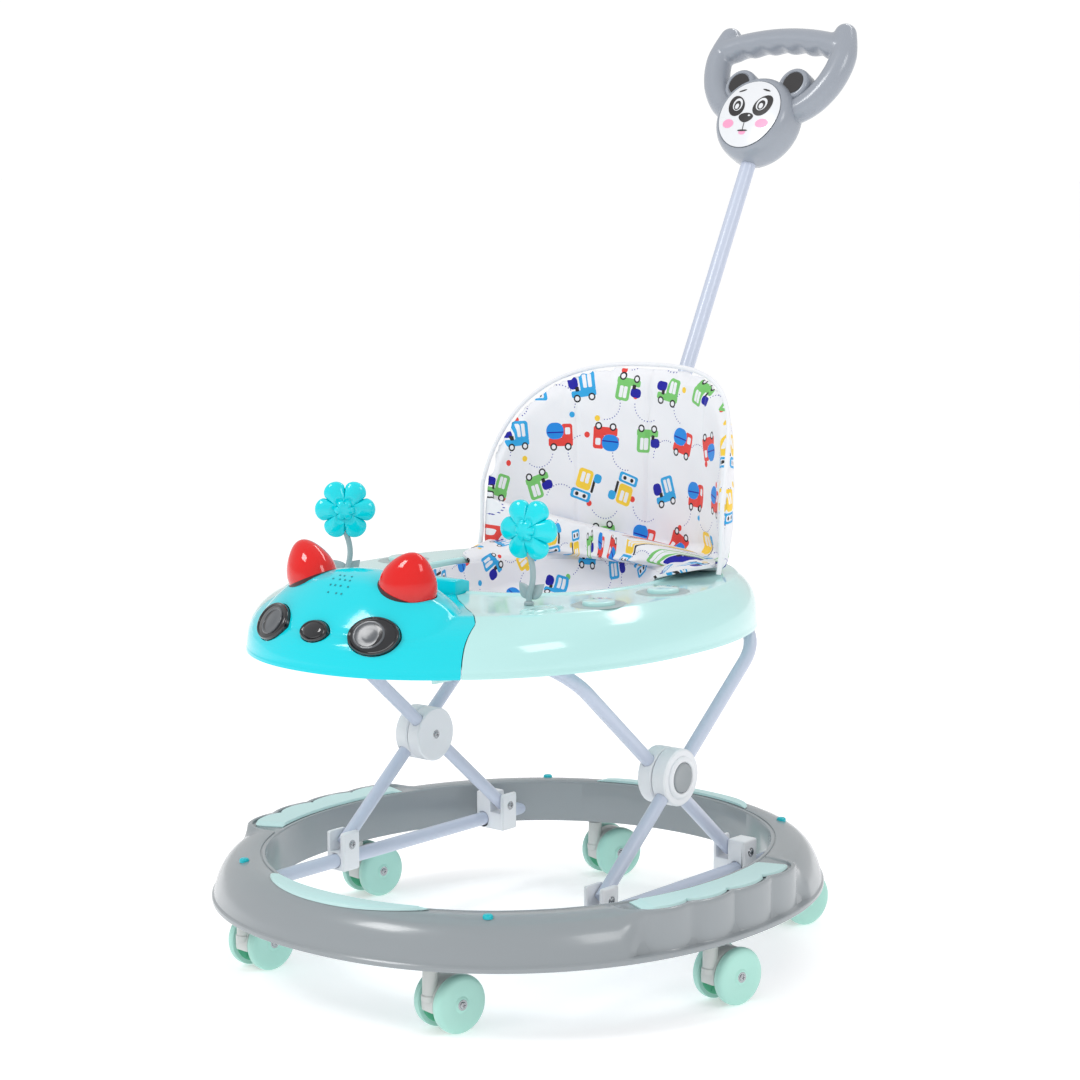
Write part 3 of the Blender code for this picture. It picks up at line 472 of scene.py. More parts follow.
def on_hood(u, v):
    turn = math.radians(208 * u - 14)
    x, r = step_of(hood_section, v)
    return Vector((x, r * math.cos(turn), r * math.sin(turn)))


hood = formed("hood", 40, 9, on_hood, 40)
stem_side = [(0.0, 0.0), (0.0, 0.0088), (0.0050, 0.0088), (0.0062, 0.0078), (0.031, 0.0074), (0.0320, 0.0066)]
stem = turned("stem", stem_side + [(0.0325, 0.0)], 32)
stem.data.transform(Matrix.Rotation(-math.pi / 2, 4, "Y"))

HEADINGS = {"front_left": -6, "front_right": -13, "right": -12, "rear_right": -15, "rear_left": -20, "left": -9}
joints = {joint["name"]: joint for joint in frame["joints"]}
for corner, heading in HEADINGS.items():
    centre = Vector(joints["wheel_" + corner]["pos_m"])
    pivot = Vector(joints["swivel_" + corner]["pos_m"])
    turn = Matrix.Rotation(math.radians(heading), 4, "Z")
    for part, (model, look) in wheel_set.items():
        piece = copied(model, f"{corner}_{part}", Matrix.Translation(centre) @ turn)
        fit(piece, look, "wheel_" + corner, "mint_wheel")
    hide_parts("wheels_" + corner)
    cover = copied(hood, f"{corner}_hood", Matrix.Translation(centre) @ turn)
    post = copied(stem, f"{corner}_stem", Matrix.Translation((pivot.x, pivot.y, 0.0325)))
    fit(joined(f"{corner}_hood", cover, post), HOOD, "swivel_" + corner, "hood_grey", "caster_" + corner)
for model in (*[pair[0] for pair in wheel_set.values()], hood, stem):
    bpy.data.objects.remove(model)


# ---------------------------------------------------------------- tubes, saddles and hubs
# The folding frame is bent steel tube with a pale blue-white powder coat. Moulded saddles hold it
# to the two base tubes, and a pair of round housings locks each crossing, under a grey cap.

POWDER = plastic("blue_white_powder_coat", tone(196, 204, 222), 0.3, 0.5, 0.3)
WHITE = plastic("white_nylon", tone(232, 234, 238), 0.3, 0.12, 0.1)


def bent_tube(name, points, radius, sides=7):
    """A tube drawn along these points and closed at its ends."""
    line = bpy.data.curves.new(name, "CURVE")
    line.dimensions = "3D"
    line.bevel_depth, line.bevel_resolution, line.use_fill_caps = radius, sides, True
    spline = line.splines.new("POLY")
    spline.points.add(len(points) - 1)
    for knot, point in zip(spline.points, points):
        knot.co = (*point, 1)
    piece = bpy.data.objects.new(name, line)
    scene.collection.objects.link(piece)
    pick(piece)
    bpy.ops.object.convert(target="MESH")
    return tidy_mesh(bpy.context.object)


def rounded(corners, radius, steps=14):
    """The same path with an arc in place of each inner corner."""
    corners = [Vector(point) for point in corners]
    path = [corners[0]]
    for before, corner, after in zip(corners, corners[1:], corners[2:]):
        back, ahead = (before - corner).normalized(), (after - corner).normalized()
        half = back.angle(ahead) / 2
        middle = corner + (back + ahead).normalized() * radius / math.sin(half)
        spoke = corner + back * radius / math.tan(half) - middle
        for i in range(steps + 1):
            turn = Matrix.Rotation(-(math.pi - 2 * half) * i / steps, 3, back.cross(ahead))
            path.append(middle + turn @ spoke)
    return path + [corners[-1]]


def softened(node, name, width, segments=2, angle=38):
    """A working copy of a CAD node with its moulded edges broken by a small radius."""
    source = frame["nodes"][node]
    piece = bpy.data.objects.new(name, source.data.copy())
    scene.collection.objects.link(piece)
    pick(piece)
    bpy.ops.object.mode_set(mode="EDIT")
    bpy.ops.mesh.select_all(action="SELECT")
    bpy.ops.mesh.remove_doubles(threshold=2e-5)
    bpy.ops.mesh.dissolve_limited(angle_limit=math.radians(3))
    bpy.ops.object.mode_set(mode="OBJECT")
    apply_modifier(piece, "BEVEL", width=width, segments=segments, limit_method="ANGLE",
                   angle_limit=math.radians(angle), use_clamp_overlap=True)
    bpy.ops.object.shade_smooth_by_angle(angle=math.radians(40))
    return piece


BASE_TUBE_R, LEG_R, BEND_R = 0.0075, 0.007, 0.055
OUTER_X, INNER_X = 0.172, 0.1545
LOW_Z, HUB_Z, TOP_Z = 0.100, 0.200, 0.335
hub_low, hub_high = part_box("hub_outer_right")
HUB_Y = (hub_low.y + hub_high.y) / 2
slope = math.tan(math.radians(40))
LOW_RUN, TOP_RUN = (HUB_Z - LOW_Z) / slope, (TOP_Z - HUB_Z) / slope

for side in ("left", "right"):
    low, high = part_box("base_tube_" + side)
    x = (low.x + high.x) / 2
    rod = bent_tube(f"{side}_base_tube", [(x, low.y, 0.083), (x, high.y, 0.083)], BASE_TUBE_R)
    fit(rod, POWDER, "base", "tube_paint", "base_tube_" + side)
for name, x, way in (("outer", OUTER_X, 1), ("inner", INNER_X, -1)):
    foot, top = (x, HUB_Y - way * LOW_RUN, LOW_Z), (x, HUB_Y + way * TOP_RUN, TOP_Z)
    path = rounded([foot, top, (-top[0], *top[1:]), (-foot[0], *foot[1:])], BEND_R)
    fit(bent_tube(f"{name}_leg_tube", path, LEG_R), POWDER, f"{name}_frame", "tube_paint", f"{name}_leg_frame")

RIM_SIDE = (
    (-0.0008, 0.0158), (0.0012, 0.0158), (0.0020, 0.0166), (0.0022, 0.0185), (0.0018, 0.0205), (0.0008, 0.0216),
    (-0.0008, 0.0218), (-0.0008, 0.0158),
)
CAP_SIDE = (
    (0.0, 0.0), (0.0, 0.0152), (0.0010, 0.0152), (0.0020, 0.0144), (0.0024, 0.0130), (0.0021, 0.0118), (0.0021, 0.0),
)
screw = cross_screw(0.0034)
for side, sign in (("left", -1), ("right", 1)):
    outward = Matrix.Rotation(sign * math.pi / 2, 4, "Y")
    inward = Matrix.Rotation(-sign * math.pi / 2, 4, "Y")
    for node, body in (("front_slider", f"slider_{side}"), ("rear_bracket", "base")):
        saddle = softened(f"{node}_{side}", f"{side}_{node}_housing", 0.0024, 4)
        fit(saddle, WHITE, body, "white_plastic", f"{node}_{side}")
        low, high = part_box(f"{node}_{side}")
        y = (low.y + high.y) / 2
        outer_x, inner_x = (high.x, low.x) if sign > 0 else (low.x, high.x)
        for way, x, face in (("outer", outer_x, outward), ("inner", inner_x, inward)):
            bolt = copied(screw, f"{side}_{node}_{way}_screw", Matrix.Translation((x, y, LOW_Z)) @ face)
            fit(bolt, STEEL, body, "white_plastic")
    for half, body in (("outer", "outer_frame"), ("inner", "inner_frame")):
        housing = softened(f"hub_{half}_{side}", f"{side}_{half}_hub_housing", 0.0008, 3)
        fit(housing, WHITE, body, "white_plastic", f"hub_{half}_{side}")
    cap_low, cap_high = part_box("hub_cap_" + side)
    face_x = cap_low.x if sign > 0 else cap_high.x
    rim, cap = turned(f"{side}_hub_rim", RIM_SIDE, 56), turned(f"{side}_grey_hub_cap", CAP_SIDE, 56)
    for piece in (rim, cap):
        piece.data.transform(Matrix.Translation((face_x, HUB_Y, HUB_Z)) @ Matrix.Diagonal((sign, 1, 1, 1)))
    fit(tidy_mesh(rim), WHITE, "outer_frame", "white_plastic")
    fit(tidy_mesh(cap), GREY, "outer_frame", "grey_plastic", "hub_cap_" + side)
    low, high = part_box("hub_inner_" + side)
    spot = Matrix.Translation((low.x if sign > 0 else high.x, HUB_Y, HUB_Z))
    bolt = copied(screw, f"{side}_hub_screw", spot @ inward)
    fit(bolt, STEEL, "inner_frame", "white_plastic")
bpy.data.objects.remove(screw)


# ---------------------------------------------------------------- tray
# The play tray is one glossy mint moulding: a rounded skirt, a flat band, and a beaded rim round
# the seat opening. Its pan closes it below, and four discs in grey surrounds stand on the band.

MINT = plastic("glossy_mint_abs", tone(186, 231, 229), 0.14, 0.06, 0.6)
TRAY_OUTER = (0.226, 0.287, 2.15, -0.020)
TRAY_OPENING = (0.128, 0.138, 2.1, 0.030)
TRAY_LOW_Z, TRAY_BAND_Z, PAN_TOP_Z = 0.337, 0.3895, 0.3474
TRAY_SKIRT = (
    (1.0, 0.3385), (0.9985, 0.3400), (0.996, 0.3408), (0.9955, 0.3440), (0.992, 0.3490), (0.986, 0.3545),
    (0.975, 0.3600), (0.960, 0.3655), (0.938, 0.3706), (0.908, 0.3754), (0.872, 0.3796), (0.836, 0.3828),
    (0.805, 0.3852), (0.780, 0.3872), (0.765, 0.3886), (0.750, 0.3893),
)
TRAY_BAND = ((0.730, 0.3895), (0.62, 0.3895), (0.50, 0.3895), (0.38, 0.3895), (0.26, 0.3895), (0.14, 0.3895))
TRAY_RIM = (
    (0.075, 0.3895), (0.062, 0.3898), (0.052, 0.3907), (0.040, 0.3914), (0.026, 0.3915), (0.012, 0.3909),
    (0.003, 0.3897), (0.0, 0.3880), (0.0, 0.3700), (0.0, 0.3449),
)
TRAY_SKIN = ((1.0, 0.3370), *TRAY_SKIRT, *TRAY_BAND, *TRAY_RIM)
HEAD_EDGES = (
    (0, 10.5), (0.135, 10.5), (0.22, 15), (0.40, 24), (0.54, 29), (0.66, 33.3), (0.82, 37.0), (1.0, 36.5),
)


def head_edge(reach):
    """Half the angle of the tray that the animal head covers, at this reach."""
    return math.radians(along_knots(HEAD_EDGES, reach))


def on_tray(u, v):
    reach, z = step_of(TRAY_SKIN, v)
    edge = head_edge(reach) + 0.0035
    return between(TRAY_OPENING, TRAY_OUTER, -math.pi / 2 + edge + (2 * math.pi - 2 * edge) * u, reach, z)


tray = formed("tray_moulding", 220, len(TRAY_SKIN) - 1, on_tray)
apply_modifier(tray, "SOLIDIFY", thickness=0.0030, offset=-1, use_even_offset=True)
fit(tidy_mesh(tray), MINT, "tray", "mint_gloss", "tray_top")
fit(softened("tray_pan", "tray_under_pan", 0.0005, 1), MINT_SATIN, "tray", "mint_satin", "tray_pan")

disc_blank = bevelled_round("disc", 0.0150, 0.0046, 0.0020, 4, 56)
disc_blank.data.transform(Matrix.Diagonal((1, 1.15, 1, 1)))
bpy.ops.object.select_all(action="DESELECT")
bpy.ops.mesh.primitive_circle_add(vertices=72, radius=0.0250, fill_type="NGON")
surround = bpy.context.object
bpy.ops.object.mode_set(mode="EDIT")
bpy.ops.mesh.select_all(action="SELECT")
bpy.ops.mesh.inset(thickness=0.0030)
bpy.ops.transform.translate(value=(0, 0, 0.0010))
bpy.ops.mesh.inset(thickness=0.0022)
bpy.ops.mesh.inset(thickness=0.0030)
bpy.ops.transform.translate(value=(0, 0, -0.0004))
bpy.ops.object.mode_set(mode="OBJECT")
surround.data.transform(Matrix.Diagonal((1, 1.25, 1, 1)))
GREY_MARK = plastic("grey_disc_surround", tone(158, 176, 176), 0.3, 0.1)
for side in ("left", "right"):
    for end in ("front", "rear"):
        node = f"tray_disc_{end}_{side}"
        spot = middle_of(node)
        seat = Matrix.Translation((spot.x, spot.y, TRAY_BAND_Z - 0.0002))
        fit(copied(disc_blank, f"{side}_{end}_tray_disc", seat), MINT, "tray", "mint_gloss", node)
        fit(tidy_mesh(copied(surround, f"{side}_{end}_disc_surround", seat)), GREY_MARK, "tray", "mint_gloss")
bpy.data.objects.remove(disc_blank)
bpy.data.objects.remove(surround)


# ---------------------------------------------------------------- animal head
# A cyan cover snaps over the front of the tray as an animal's head. It carries clear red ears,
# black eye and nose buttons in rims, and the speaker's holes between the ears, drawn as flat discs of painted shade.

CYAN = plastic("glossy_cyan_abs", tone(0, 214, 228), 0.12, 0.05, 0.2)
BLACK = plastic("glossy_black_button", tone(24, 25, 30), 0.12, 0.04, 0.5)
EYE_GREY = plastic("grey_button_disc", tone(84, 88, 93), 0.22, 0.06, 0.3)
# The ear sockets' walls are coloured dark red-brown as painted shade of the gap round each lens.
EAR_SOCKET_SHADE = plastic("painted_shade_socket", tone(60, 22, 26), 0.4, 0.1)
RED = plastic("clear_red_lens", tone(232, 14, 10), 0.05, 0.02, 0.2)
RED.node_tree.nodes["Principled BSDF"].inputs["Transmission Weight"].default_value = 0.08
HEAD_RISE, HEAD_HALF_X, HEAD_MID_Y, HEAD_BACK, HEAD_FRONT = 0.040, 0.112, -0.245, 0.078, 0.055
HEAD_FOOT = sorted((*TRAY_BAND, *TRAY_SKIRT[1:], (1.0, 0.3370)))  # the head stands on the tray's skin


def head_point(part, reach):
    """A point of the head's skin: part from -1 to 1 across it, reach 0 at the opening and 1 at the rim."""
    turn = -math.pi / 2 + (head_edge(reach) - 0.0005) * part
    flare = 1 - part * part
    wide = (TRAY_OUTER[0] + 0.004 * flare, TRAY_OUTER[1] + 0.009 * flare, TRAY_OUTER[2], TRAY_OUTER[3])
    point = between(TRAY_OPENING, wide, turn, reach, 0)
    y = point.y - MIDDLE_Y - HEAD_MID_Y
    dome = max(0, 1 - (point.x / HEAD_HALF_X) ** 2 - (y / (HEAD_BACK if y > 0 else HEAD_FRONT)) ** 2) ** 0.7
    point.z = along_knots(HEAD_FOOT, reach) + HEAD_RISE * dome * (1 - min(reach, 1) ** 3) ** 0.5
    return point


def on_head(u, v):
    reach = 0.135 + 0.865 * (1 - (1 - v) ** 2.2)
    return head_point(2 * u - 1, reach)


cover = formed("animal_head_cover", 112, 80, on_head)
apply_modifier(cover, "SOLIDIFY", thickness=0.0027, offset=-1 if cover.data.polygons[2000].normal.z > 0 else 1)


def head_frame(spot_x, spot_y):
    """The skin over this spot of the head: its point, across it, along it and out of it."""
    best = min(((p / 200, r / 200) for p in range(-200, 201, 4) for r in range(30, 200)),
               key=lambda pair: (head_point(*pair).xy - Vector((spot_x, spot_y + MIDDLE_Y))).length)
    across = (head_point(best[0] + 0.02, best[1]) - head_point(best[0] - 0.02, best[1])).normalized()
    along = (head_point(best[0], best[1] - 0.01) - head_point(best[0], best[1] + 0.01)).normalized()
    out = across.cross(along).normalized()
    return head_point(*best), across, out.cross(across), out


def button(name, place, half_across, half_along, profile, sides=72):
    """An oval moulding turned from (height, share of its full size) pairs, standing on the head's skin."""
    point, across, along, out = place

    def where(u, v):
        rise, size = step_of(profile, v)
        turn = 2 * math.pi * u
        return (point + out * rise + across * half_across * size * math.cos(turn)
                + along * half_along * size * math.sin(turn))
    return formed(name, sides, len(profile) - 1, where)


def in_cover(place, half_across, half_along):
    """Cuts the cover's hole for a button, with a fine gap round it."""
    cutter = button("hole", place, half_across, half_along, ((-0.02, 0.0), (-0.02, 1.0), (0.04, 1.0), (0.04, 0.0)))
    apply_modifier(cover, "BOOLEAN", object=cutter, operation="DIFFERENCE", solver="EXACT")
    bpy.data.objects.remove(cutter)


EYE_BODY = ((-0.010, 0.0), (-0.010, 1.0), (0.0022, 1.0), (0.0036, 0.985), (0.0044, 0.955), (0.0046, 0.92),
            (0.0040, 0.89), (0.0036, 0.87), (0.0040, 0.80), (0.0048, 0.60), (0.0052, 0.30), (0.0053, 0.0))
EYE_DISC = ((-0.002, 0.0), (-0.002, 1.0), (0.0009, 1.0), (0.0013, 0.96), (0.0013, 0.90), (0.0006, 0.86),
            (0.0004, 0.82), (0.0012, 0.45), (0.0015, 0.0))
NOSE_BODY = ((-0.010, 0.0), (-0.010, 1.0), (0.0022, 1.0), (0.0038, 0.96), (0.0046, 0.88), (0.0040, 0.80),
             (0.0038, 0.76), (0.0048, 0.70), (0.0056, 0.50), (0.0060, 0.0))
SOCKET_WALL = ((-0.012, 0.0), (-0.012, 1.0), (-0.004, 1.0), (-0.004, 0.0))
EAR = ((-0.012, 0.0), (-0.012, 1.0), (0.001, 1.0), (0.004, 0.990), (0.007, 0.965), (0.010, 0.930), (0.013, 0.885),
       (0.0165, 0.820), (0.020, 0.740), (0.0235, 0.645), (0.0270, 0.535), (0.0300, 0.420), (0.0322, 0.310),
       (0.0337, 0.205), (0.0345, 0.105), (0.0348, 0.0))
for side, sign in (("left", -1), ("right", 1)):
    place = head_frame(sign * 0.065, -0.289)
    in_cover(place, 0.0266, 0.0201)
    eye = button(f"{side}_eye", place, 0.0258, 0.0193, EYE_BODY)
    fit(eye, BLACK, f"eye_{side}", "black_gloss", f"eye_button_{side}")
    point, across, along, out = place
    inner = (point - across * sign * 0.0035 + out * 0.0044, across, along, out)
    fit(button(f"{side}_eye_disc", inner, 0.0160, 0.0140, EYE_DISC), EYE_GREY, f"eye_{side}", "black_gloss")
    point, across, along, out = head_frame(sign * 0.062, -0.240)
    out = (out + Vector((sign * 0.16, 0, 0.16))).normalized()
    across = (across - out * across.dot(out)).normalized()
    place = (point, across, out.cross(across), out)
    in_cover(place, 0.0290, 0.0240)
    fit(button(f"{side}_ear_lens", place, 0.0282, 0.0232, EAR), RED, "tray", "red_clear", f"ear_{side}")
    # The socket wall fills the gap round the lens; its dark colour is painted shade.
    fit(button(f"{side}_ear_socket", place, 0.0288, 0.0238, SOCKET_WALL), EAR_SOCKET_SHADE, "tray", "red_clear")
place = head_frame(0.0, -0.300)
in_cover(place, 0.0181, 0.0121)
fit(button("nose", place, 0.0173, 0.0113, NOSE_BODY), BLACK, "nose", "black_gloss", "nose_button")
fit(tidy_mesh(cover), CYAN, "tray", "cyan_gloss", "head_cover")

# The speaker's holes are not cut: flat discs of a dark cyan lie just above the skin as painted shade of the holes.
bpy.ops.object.select_all(action="DESELECT")
bpy.ops.mesh.primitive_circle_add(vertices=12, radius=0.0011, fill_type="NGON")
hole = bpy.context.object
holes = []
for row, count in enumerate((3, 4, 4, 3)):
    for i in range(count):
        x, y = (i - (count - 1) / 2) * 0.0074 + (row - 1.5) * 0.0012, -0.266 - (row - 1.5) * 0.0062
        point, across, along, out = head_frame(x, y)
        turn = Matrix((across, along, out)).transposed().to_4x4()
        holes.append(copied(hole, "speaker_hole", Matrix.Translation(point + out * 0.0004) @ turn))
bpy.data.objects.remove(hole)
HOLE_SHADE_CYAN = plastic("shaded_cyan_hole", tone(6, 130, 142), 0.5, 0.1)
fit(joined("speaker_hole_shade_discs", *holes), HOLE_SHADE_CYAN, "tray", "cyan_gloss")
fit(softened("toy_panel", "melody_panel", 0.0018, 3), CYAN, "tray", "cyan_gloss", "toy_panel")


# ---------------------------------------------------------------- flowers
# Two puffy cyan blossoms turn on grey stems that stand in the band. Each stem carries two fleshy
# leaves with a groove, and a low wavy tuft of grass is moulded in the tray beside its foot.

PETAL = plastic("puffy_cyan_petal", tone(0, 220, 232), 0.12, 0.04, 0.2)
STEM = plastic("grey_stem_plastic", tone(160, 178, 182), 0.34, 0.1, 0.1)
FLOWER_Z, PETALS, FLOWER_FOOT_Z = 0.462, 6, 0.3899
TUFT_SIDE = (
    (0.0, 0.0026), (0.35, 0.0026), (0.60, 0.0020), (0.74, 0.0030), (0.84, 0.0028), (0.92, 0.0016), (1.0, -0.0004),
)


def blossom_point(u, v):
    """The blossom lies flat here, facing +Z: v runs from the middle of the back to the middle of the front."""
    turn = 2 * math.pi * u
    petal = abs(math.cos(turn * PETALS / 2)) ** 0.5
    edge = 0.0212 + 0.0094 * petal
    swing = math.pi * (v - 0.5)
    share = math.cos(swing)
    valley = 1 - 0.62 * (1 - petal) * ease(0.42, 1.0, share)
    front = 0.0096 if v > 0.5 else 0.0078
    height = front * math.copysign(abs(math.sin(swing)) ** 0.62, swing) * valley
    height += (0.0022 * (1 - ease(0.26, 0.34, share)) - 0.0016 * math.exp(-(((share - 0.37) / 0.05) ** 2))) * (v > 0.5)
    return Vector((edge * share * math.cos(turn), edge * share * math.sin(turn), height))


def leaf_point(u, v):
    """A fleshy leaf lying along +X, with a groove down its middle."""
    along, turn = v, 2 * math.pi * u
    wide = 0.0064 * math.sin(math.pi * min(1, 0.06 + 0.94 * along) ** 0.8) + 0.0002
    across, up = wide * math.cos(turn), 0.0017 * math.sin(turn) * (wide / 0.0066) ** 0.5
    up -= 0.0007 * math.exp(-((across / 0.0012) ** 2)) * math.copysign(1, math.sin(turn)) * math.sin(math.pi * along)
    return Vector((0.0195 * along, across, up + 0.0030 * along * along))


for side, sign, yaw in (("left", -1, 38), ("right", 1, 8)):
    turn = math.radians(yaw)
    foot = Vector((sign * 0.120, MIDDLE_Y - 0.132, FLOWER_FOOT_Z))
    face = Vector((math.sin(turn), -math.cos(turn), 0))
    across = Vector((math.cos(turn), math.sin(turn), 0))
    up = Vector((0, 0, 1))
    body = f"flower_{side}"
    upright = Matrix((across, up, face)).transposed().to_4x4()
    bloom = formed(f"{side}_blossom", 168, 44, blossom_point, 60)
    bloom.data.transform(Matrix.Translation((foot.x, foot.y, FLOWER_Z)) @ upright)
    fit(tidy_mesh(bloom, sharp=60), PETAL, body, "cyan_gloss", f"flower_head_{side}")
    line = [foot, foot + up * 0.006]
    for i in range(1, 15):
        rise = 0.0420 * i / 14
        line.append(foot + up * (0.008 + rise) + across * 0.0046 * math.sin(math.pi * i / 14))
    stalk = bent_tube(f"{side}_stalk", line, 0.0029, 5)
    collar = bevelled_round("collar", 0.0047, 0.0030, 0.0012, 3, 28)
    collar.data.transform(Matrix.Translation(foot))
    parts = [stalk, collar]
    for way, tilt in ((1, 44), (-1, 136)):
        leaf = formed("leaf", 28, 20, leaf_point, 60)
        stand = Matrix((across, face, up)).transposed().to_4x4()
        leaf.data.transform(Matrix.Translation(foot + up * 0.0065 - face * 0.0022) @ stand
                            @ Matrix.Rotation(math.radians(-tilt), 4, "Y") @ Matrix.Rotation(math.pi / 2, 4, "X"))
        parts.append(tidy_mesh(leaf, sharp=60))
    fit(joined(f"{side}_flower_stem", *parts), STEM, body, "stem_grey", f"flower_stem_{side}")

    tuft_at = Vector((sign * 0.150, MIDDLE_Y - 0.150, 0.38945))

    def on_tuft(u, v, tuft_at=tuft_at):
        around = 2 * math.pi * u
        wave = 1 + 0.13 * math.sin(7 * around) + 0.05 * math.sin(13 * around)
        share, lift = step_of(TUFT_SIDE, v)
        wide = wave * share
        return tuft_at + Vector((0.0125 * wide * math.cos(around), 0.026 * wide * math.sin(around), lift))

    fit(formed(f"{side}_grass_tuft", 140, 6, on_tuft, 60), MINT, "tray", "mint_gloss")


# ---------------------------------------------------------------- printed cloth
# The seat is sewn from white polyester printed with little building trucks, dotted arcs and
# coloured dots. The cloth has a fine plain weave and a soft sheen.

def node_kit(tree):
    """Short ways to fill a node's inputs with sockets or numbers, and to add a Math or a Vector Math node."""
    def put(node, values):
        for socket, value in zip(node.inputs, values):
            if isinstance(value, bpy.types.NodeSocket):
                tree.links.new(value, socket)
            elif value is not None:
                socket.default_value = value
        return node

    def number(operation, *values):
        node = tree.nodes.new("ShaderNodeMath")
        node.operation = operation
        return put(node, values).outputs[0]

    def vector(operation, *values):
        node = tree.nodes.new("ShaderNodeVectorMath")
        node.operation = operation
        put(node, values)
        return node.outputs["Value" if operation in ("LENGTH", "DOT_PRODUCT") else "Vector"]
    return put, number, vector


def printed_patch():
    """Shader group: a patch of ink with round corners, its middle, core half size and corner radius in mm."""
    group = bpy.data.node_groups.new("printed_patch", "ShaderNodeTree")
    for name in ("Point", "Middle", "Core"):
        group.interface.new_socket(name, in_out="INPUT", socket_type="NodeSocketVector")
    group.interface.new_socket("Round", in_out="INPUT", socket_type="NodeSocketFloat")
    group.interface.new_socket("Ink", in_out="OUTPUT", socket_type="NodeSocketFloat")
    given, made = group.nodes.new("NodeGroupInput"), group.nodes.new("NodeGroupOutput")
    _, number, vector = node_kit(group)
    away = vector("ABSOLUTE", vector("SUBTRACT", given.outputs["Point"], given.outputs["Middle"]))
    past = vector("MAXIMUM", vector("SUBTRACT", away, given.outputs["Core"]), (0, 0, 0))
    inside = number("LESS_THAN", vector("LENGTH", past), given.outputs["Round"])
    group.links.new(inside, made.inputs["Ink"])
    return group


PATCH = printed_patch()
RED_INK, BLUE_INK, SKY_INK, NAVY_INK = tone(232, 66, 58), tone(24, 138, 226), tone(44, 166, 226), tone(14, 14, 158)
GREEN_INK, YELLOW_INK, BLACK_INK = tone(120, 198, 108), tone(250, 208, 62), tone(34, 30, 34)
WHITE_CLOTH = tone(240, 240, 244)
WHEELS = [(x, -7.6, 0, 0, r, ink) for r, ink in ((2.7, BLACK_INK), (1.6, WHITE_CLOTH)) for x in (-5.6, 5.6)]
# Each truck is patches of ink, the first lowest: middle x and y, core half x and y, corner radius, colour.
TRUCKS = (
    [(0, -4.2, 8, 1.6, 1.4, RED_INK), (5.2, 2.0, 2.2, 4.4, 2.0, RED_INK), (5.6, 3.4, 1.0, 1.4, 1.0, WHITE_CLOTH),
     (-4.2, 3.6, 1.2, 0.2, 5.6, BLUE_INK), (-4.0, 2.6, 6.0, 0.0, 0.45, NAVY_INK)] + WHEELS,
    [(0, -4.6, 8, 1.0, 1.4, SKY_INK), (3.6, 3.0, 3.4, 4.6, 2.4, SKY_INK), (1.6, 3.6, 0.5, 3.6, 0.9, WHITE_CLOTH),
     (5.4, 3.6, 0.5, 3.6, 0.9, WHITE_CLOTH), (-7.0, 3.2, 0.6, 1.2, 3.0, NAVY_INK),
     (-4.6, -1.2, 0.8, 1.0, 0.6, BLACK_INK)] + WHEELS,
    [(0, 5.0, 3.2, 4.6, 2.6, YELLOW_INK), (-1.8, 6.2, 0.6, 2.8, 0.8, WHITE_CLOTH),
     (2.0, 6.2, 0.6, 2.8, 0.8, WHITE_CLOTH), (0, -6.6, 6.0, 1.8, 1.8, SKY_INK),
     (0, -6.6, 4.4, 0.8, 1.2, WHITE_CLOTH), (-3.0, -6.6, 0, 0, 1.4, BLACK_INK),
     (3.0, -6.6, 0, 0, 1.4, BLACK_INK), (7.6, 2.6, 0.2, 4.4, 0.8, BLACK_INK), (9.6, 8.4, 0.6, 0.8, 2.4, SKY_INK)],
    [(0, -4.6, 8, 1.0, 1.4, GREEN_INK), (3.6, 2.4, 3.0, 4.2, 2.4, GREEN_INK), (1.8, 3.0, 0.5, 3.2, 0.9, WHITE_CLOTH),
     (5.0, 3.0, 0.5, 3.2, 0.9, WHITE_CLOTH), (-6.6, 2.0, 1.6, 0.6, 2.6, NAVY_INK),
     (-4.6, -1.8, 0.8, 1.0, 0.6, BLACK_INK)] + WHEELS,
)
CELL = 54.0  # the print's repeat, in millimetres


